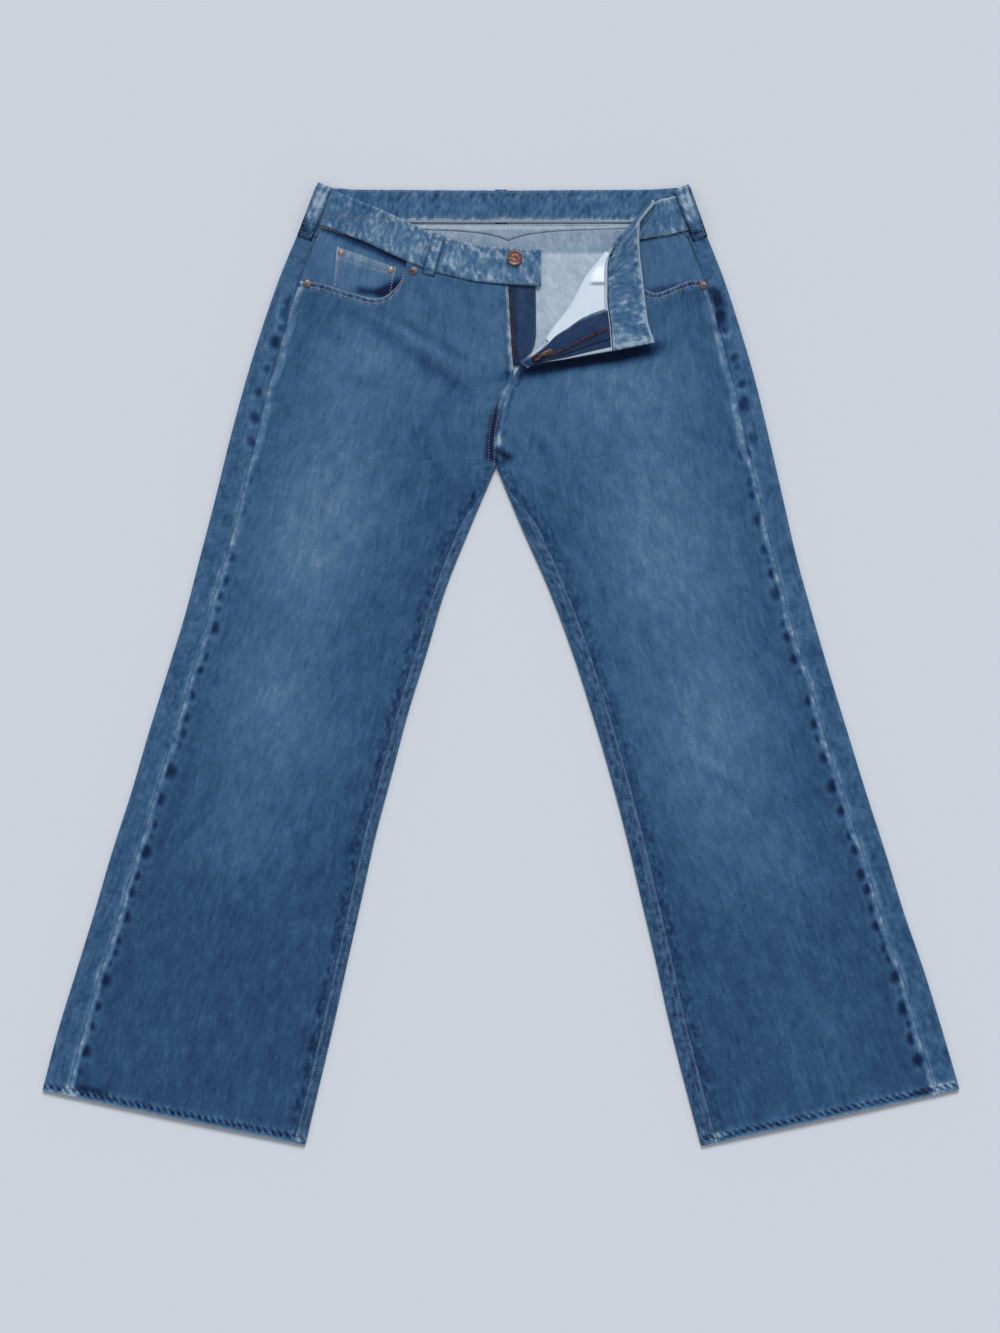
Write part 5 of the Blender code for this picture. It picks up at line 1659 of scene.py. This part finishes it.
def spun(name, outline, look, base):
    """A turned metal part from its half section, as radius and height, standing on a place."""
    mesh = bmesh.new()
    verts = [mesh.verts.new((radius * MM, 0, height * MM)) for radius, height in outline]
    edges = [mesh.edges.new(pair) for pair in zip(verts, verts[1:])]
    bmesh.ops.spin(mesh, geom=verts + edges, cent=(0, 0, 0), axis=(0, 0, 1), angle=math.tau,
                   steps=SPIN_STEPS, use_merge=True)
    bmesh.ops.remove_doubles(mesh, verts=mesh.verts, dist=0.005 * MM)
    bmesh.ops.holes_fill(mesh, edges=[edge for edge in mesh.edges if edge.is_boundary], sides=0)
    bmesh.ops.recalc_face_normals(mesh, faces=mesh.faces)
    bmesh.ops.translate(mesh, verts=mesh.verts, vec=Vector(base))
    return hard_piece(name, mesh, look)


def hard_piece(name, mesh, look, body="jeans"):
    for face in mesh.faces:
        face.smooth = True
    piece = add_mesh(name, mesh, [look])
    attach(piece, body)
    "thread" not in look.name
    return piece


def node_base(node):
    """The middle of a node's foot."""
    low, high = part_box(node)
    return Vector(((low.x + high.x) / 2, (low.y + high.y) / 2, low.z))


button = spun("waist_button_cap", BUTTON, COPPER, node_base("waist_button"))
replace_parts(button, "waist_button")
for plan in RIVETS:
    rivet = spun(plan.name + "_head", plan.outline, plan.look, node_base(plan.name))
    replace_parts(rivet, plan.name)

# %% The zip's slider and pull tab
SLIDER_LENGTH = 9.0
SLIDER_BODY = 2.4
KNUCKLE_RADIUS = 0.8
PULL_REST_TILT = 12.0
HINGE_FROM_FRONT = 1.6
SLIDER_HALF = [(3.5, 0), (3.5, 2.4), (2.9, 2.4), (2.9, 4.6), (2.0, 4.6), (2.0, 2.4)]
SLIDER_SECTION = [(-3.5, 0)] + SLIDER_HALF + [(-y, z) for y, z in SLIDER_HALF[:0:-1]]
PULL_HALF = [(-0.7, -1.7), (3.6, -1.7), (4.4, -2.6), (14.5, -3.0), (16.0, -2.0)]
PULL_OUTLINE = PULL_HALF + [(x, -y) for x, y in reversed(PULL_HALF)]
PULL_THICKNESS = 1.0


def placed(spot, x_axis, y_axis):
    """The matrix that carries a part to a spot and turns it on to two axes."""
    return Matrix.Translation(spot) @ Matrix((x_axis, y_axis, x_axis.cross(y_axis))).transposed().to_4x4()


def slider_place():
    """Where the slider lies on the left zip tape, pointing up along the teeth."""
    here = corner.flap(0.50, 0.86, 0)
    ahead = corner.flap(0.66, 0.60, 0)
    x_axis = (ahead - here).normalized()
    y_axis = Vector((0, 0, 1)).cross(x_axis).normalized()
    z_axis = x_axis.cross(y_axis)
    return placed((here + z_axis * (TAPE_LOW + TAPE + GAP + 0.5)) * MM, x_axis, y_axis)


def run_section(points, depth, bevel):
    """A solid from an outline pushed along a depth vector, with its edges eased."""
    mesh = bmesh.new()
    face = mesh.faces.new([mesh.verts.new(point) for point in points])
    grown = bmesh.ops.extrude_face_region(mesh, geom=[face])
    ends = [item for item in grown["geom"] if isinstance(item, bmesh.types.BMVert)]
    bmesh.ops.translate(mesh, verts=ends, vec=depth)
    bmesh.ops.recalc_face_normals(mesh, faces=mesh.faces)
    bmesh.ops.bevel(mesh, geom=list(mesh.edges), offset=bevel * MM, affect="EDGES", segments=2, profile=0.5,
                    material=-1)
    return mesh


slider_at = slider_place()
mesh = run_section([(-SLIDER_LENGTH / 2 * MM, y * MM, z * MM) for y, z in SLIDER_SECTION],
                   (SLIDER_LENGTH * MM, 0, 0), 0.15)
mesh.transform(slider_at)
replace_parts(hard_piece("zip_slider_body", mesh, SLIDER_METAL), "zip_slider")
mesh = run_section([(x * MM, y * MM, -PULL_THICKNESS / 2 * MM) for x, y in PULL_OUTLINE],
                   (0, 0, PULL_THICKNESS * MM), 0.2)
hinge = Vector((SLIDER_LENGTH / 2 - HINGE_FROM_FRONT, 0, SLIDER_BODY + GAP + KNUCKLE_RADIUS)) * MM
tilt = Matrix.Rotation(math.radians(PULL_REST_TILT), 4, "Y")
mesh.transform(slider_at @ Matrix.Translation(hinge) @ tilt)
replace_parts(hard_piece("zip_pull_tab", mesh, SLIDER_METAL, body="pull"), "zip_pull")

# %% [markdown]
# ## Zip teeth
#
# Each tooth is a small eased block that grips the edge of its tape, a step of 2.2 mm from the next.

# %% Zip teeth
TOOTH_STEP = 2.2
TOOTH_SIZE = (1.2, 3.2, 1.5)


def add_teeth(mesh, points):
    """Teeth along a line of 3-D points, lying across it."""
    run = 0.0
    due = 0.0
    for a, b in zip(points, points[1:]):
        length = (b - a).length
        while due <= run + length:
            spot = a.lerp(b, (due - run) / length)
            x_axis = (b - a).normalized()
            y_axis = Vector((0, 0, 1)).cross(x_axis).normalized()
            frame_at = placed(spot * MM, x_axis, y_axis)
            bmesh.ops.create_cube(mesh, size=MM, matrix=frame_at @ Matrix.Diagonal((*TOOTH_SIZE, 1.0)))
            due += TOOTH_STEP
        run += length


mesh = bmesh.new()
add_teeth(mesh, [corner.flap(0.775, mix(0.04, 0.74, k / 40), TAPE_LOW + TAPE + 0.3) for k in range(41)])
right_shares = [mix(0.03, 0.86, k / 30) for k in range(31)]
right_teeth = [mix(tape_near.at(share), tape_far.at(share), 0.2) for share in right_shares]
add_teeth(mesh, [raised(p, lift(p.y) + RIGHT_TAPE_TOP + 0.1) for p in right_teeth])
bmesh.ops.bevel(mesh, geom=list(mesh.edges), offset=0.2 * MM, affect="EDGES", segments=1, profile=0.5,
                material=-1)
hard_piece("zip_teeth", mesh, TEETH)

# %% [markdown]
# ## Stitches
#
# A stitch is one short turn of thread between two needle holes. Here it is a stretched ball, half sunk in
# the cloth, laid along the cloth's slope. A seam is a row of them at the machine's step, a little uneven,
# as thick denim makes them. Topstitching is tan, and the seams that the wash has greyed use a duller
# thread.

# %% Stitches


def thread(name, light, dark):
    finish = Finish(name, 0.75, sheen=0.15)
    worn = finish.noise(finish.place(), 160.0, 3.0, 0.6)
    finish.feed("Base Color", finish.ramp(worn, [(0.35, light), (0.65, dark)]))
    finish.bump(finish.noise(finish.place(), 1800.0), 0.4, 0.0002)
    return finish.material


TAN = thread("tan_thread", srgb(178, 156, 138), srgb(128, 112, 104))
WORN_TAN = thread("worn_tan_thread", srgb(124, 116, 118), srgb(92, 94, 106))
GREY = thread("greyed_thread", srgb(118, 132, 148), srgb(82, 96, 114))
BLUE = thread("blue_thread", srgb(66, 90, 120), srgb(40, 60, 90))
STITCH_STEP = 3.3
STITCH_LENGTH = 2.5
STITCH_WIDTH = 1.1
STITCH_HEIGHT = 0.7
STITCHES_IN_A_LOT = 30
TACK_STEP = 1.6
wobble = random.Random(11)


class Seam:
    """Stitches in the making, in small lots, because a bmesh operator slows as its mesh grows."""

    def __init__(self):
        self.whole = bmesh.new()
        self.lot = bmesh.new()
        self.in_lot = 0
        self.count = 0

    def add(self, a, b, normal):
        """One stitch between two points, in metres, on cloth that faces along normal."""
        x_axis = (b - a).normalized()
        y_axis = normal.cross(x_axis).normalized()
        size = Matrix.Diagonal(((b - a).length / 2 / MM, STITCH_WIDTH / 2, STITCH_HEIGHT / 2, 1.0))
        bmesh.ops.create_uvsphere(self.lot, u_segments=6, v_segments=4, radius=MM,
                                  matrix=placed((a + b) / 2, x_axis, y_axis) @ size)
        self.in_lot += 1
        self.count += 1
        if self.in_lot == STITCHES_IN_A_LOT:
            self.gather()

    def gather(self):
        data = bpy.data.meshes.new("lot")
        self.lot.to_mesh(data)
        self.whole.from_mesh(data)
        bpy.data.meshes.remove(data)
        self.lot.free()
        self.lot = bmesh.new()
        self.in_lot = 0

    def finish(self, name, look):
        self.gather()
        print(name, self.count, "stitches")
        return hard_piece(name, self.whole, look)


def sew(seam, ground, line, step=STITCH_STEP):
    """A row of stitches along a plan line, on the ground's cloth."""
    at = step * 0.5
    while at + STITCH_LENGTH < line.length:
        shake = wobble.uniform(-0.25, 0.25)
        ends = []
        for reach in (at, at + STITCH_LENGTH * step / STITCH_STEP):
            point = line.at(reach / line.length)
            found = ground.land(point.x, point.y + shake * 0.4)
            if found:
                ends.append(found)
        if len(ends) == 2 and abs(ends[0].point.z - ends[1].point.z) < 1.2:
            seam.add(ends[0].point * MM, ends[1].point * MM, ends[0].normal)
        at += step * (1 + shake * 0.15)


def section_line(side, inset, rows):
    """A plan line down a leg, an inset in from its inner edge."""
    sections = [section_at(side, row) for row in rows]
    return Path([flat(section.point(section.width - inset, 0)) for section in sections], 4)


panel_ground = Ground(LEG_CLOTH)
coin_ground = Ground(["coin_pocket_cloth"])
shares = [k / 12 for k in range(13)]
tan_rows = Seam()
for side in LEG_ROWS:
    mouth = HIP_PLACE[side]
    limit = MOUTH_SHARE[side]
    for inset in (0.009, 0.036):
        sew(tan_rows, panel_ground, Path([mouth(mix(0.02, limit - 0.01, t), inset) for t in shares], 3))
sew(tan_rows, panel_ground, Path([(x - 2.4, y) for x, y in FLY_EDGE]))
coin_place = patch(*[Path(line) for line in COIN_POCKET])
for v in (0.05, 0.20):
    sew(tan_rows, coin_ground, Path([coin_place(mix(0.03, 0.97, t), v) for t in shares], 3))
for u in (0.035, 0.965):
    sew(tan_rows, coin_ground, Path([coin_place(u, mix(0.03, 0.97, t)) for t in shares], 3))
tan_rows.finish("tan_topstitching", TAN)
inseam_rows = Seam()
for inset in (-2.2, -8.2):
    sew(inseam_rows, panel_ground, Path([(x + inset, y) for x, y in FRONT_SEAM[1:]]))
for side in LEG_ROWS:
    rows = [5.9 + k * 0.5 for k in range(20)] + [15.95]
    edge = INSEAM_WRAP[side]
    for inset in (edge - 1.6, edge - 7.3):
        sew(inseam_rows, panel_ground, section_line(side, inset, rows))
inseam_rows.finish("inseam_topstitching", WORN_TAN)
hem_rows = Seam()
for side in LEG_ROWS:
    section = section_at(side, HEM - HEM_TURN / ROW_LENGTH)
    line = Path([flat(section.point(mix(2.5, section.width - 2.5, t), 0)) for t in shares], 3)
    sew(hem_rows, panel_ground, line)
hem_rows.finish("hem_stitching", BLUE)

# %% Greyed rows: waistband, side seams and loops
grey_rows = Seam()
for side in LEG_ROWS:
    sew(grey_rows, panel_ground, Path([front_plan(side, 0.012, k * 0.012)[0] for k in range(1, 12)], 3))
band_ground = Ground(["waistband_cloth"])


def band_row(share, first, last):
    """A plan line along the band, a share down from its top edge, between two of its lines."""
    return Path([flat(BAND_LINE[k][0].lerp(BAND_LINE[k][1], share)) for k in range(first, last, 4)], 2)


inner_rows = Seam()
sew(inner_rows, band_ground, band_row(0.85, 130, 285))
sew(inner_rows, Ground(YOKE_CLOTH), Path([(-118, 483.5), (0, 483), (118, 482)]))
inner_rows.finish("inner_band_stitching", WORN_TAN)
for first, last in [(2, 100), (126, 300), (330, 352), (368, len(BAND_LINE) - 2)]:
    for share in (0.06, 0.93):
        sew(grey_rows, band_ground, band_row(share, first, last))
for plan in LOOPS:
    loop = Ground([plan.name + "_strap"])
    top = flat(plan.top)
    low = flat(plan.low)
    side = side_step(low - top)
    for inset in (2.2, plan.width - 2.2):
        offset = side * (inset - plan.width / 2)
        sew(grey_rows, loop, Path([mix(top, low, t) + offset for t in (0.02, 0.5, 0.98)]))
    for share in (0.06, 0.09, 0.91, 0.94):
        centre = mix(top, low, share)
        half = side * plan.width * 0.42
        sew(grey_rows, loop, Path([centre - half, centre + half]), TACK_STEP)
grey_rows.finish("greyed_stitching", GREY)

# %% [markdown]
# ## The underside
#
# The seat lies on the floor. Its seams are felled with two rows each, as on the sides that show: the back
# pockets round three edges and along their mouths, the seat seam and the yokes.

# %% The underside
under_rows = Seam()
under_ground = Ground(LEG_CLOTH[2:] + YOKE_CLOTH + ["back_pocket_right_cloth", "back_pocket_left_cloth"],
                      from_below=True)
UNDER_STEP = 4.0
SIDE_SHARES = (0.02, 0.35, 0.68)
SEAT_TOP = 462
for sign in (-1, 1):
    pocket_place = patch(*back_pocket_lines(sign))
    for inset in (0.018, 0.062):
        near = [(inset, t) for t in (*SIDE_SHARES, 1 - inset)]
        foot = [(t, 1 - inset) for t in (inset, 0.25, 0.5, 0.75, 1 - inset)]
        far = [(1 - u, v) for u, v in reversed(near)]
        mouth_row = [(t, inset * 1.6) for t in (*SIDE_SHARES, 0.98)]
        for row in (near, foot, far, mouth_row):
            sew(under_rows, under_ground, Path([pocket_place(u, v) for u, v in row], 4), UNDER_STEP)
for x in (2.4, 8.6):
    sew(under_rows, under_ground, Path([(x, SEAT_TOP), (x, 380), (x, 300), (x - 4, 232)]), UNDER_STEP)
for sign in (-1, 1):
    for drop in (3.0, 9.0):
        yoke_line = [(sign * 6, SEAT_TOP - drop), (sign * 90, 472 - drop), (sign * 212, 470 - drop)]
        sew(under_rows, under_ground, Path(yoke_line), UNDER_STEP)
under_rows.finish("seat_stitching", WORN_TAN)

TAPES = {"fly_facing_cloth": "zip_tape_left_cloth", "fly_shield_cloth": "zip_tape_right_cloth"}
for name, (piece, width, length, area) in CLOTH_PIECES.items():
    if name not in TAPES.values():
        min(area, width * length)
        [TAPES[name]] if name in TAPES else []
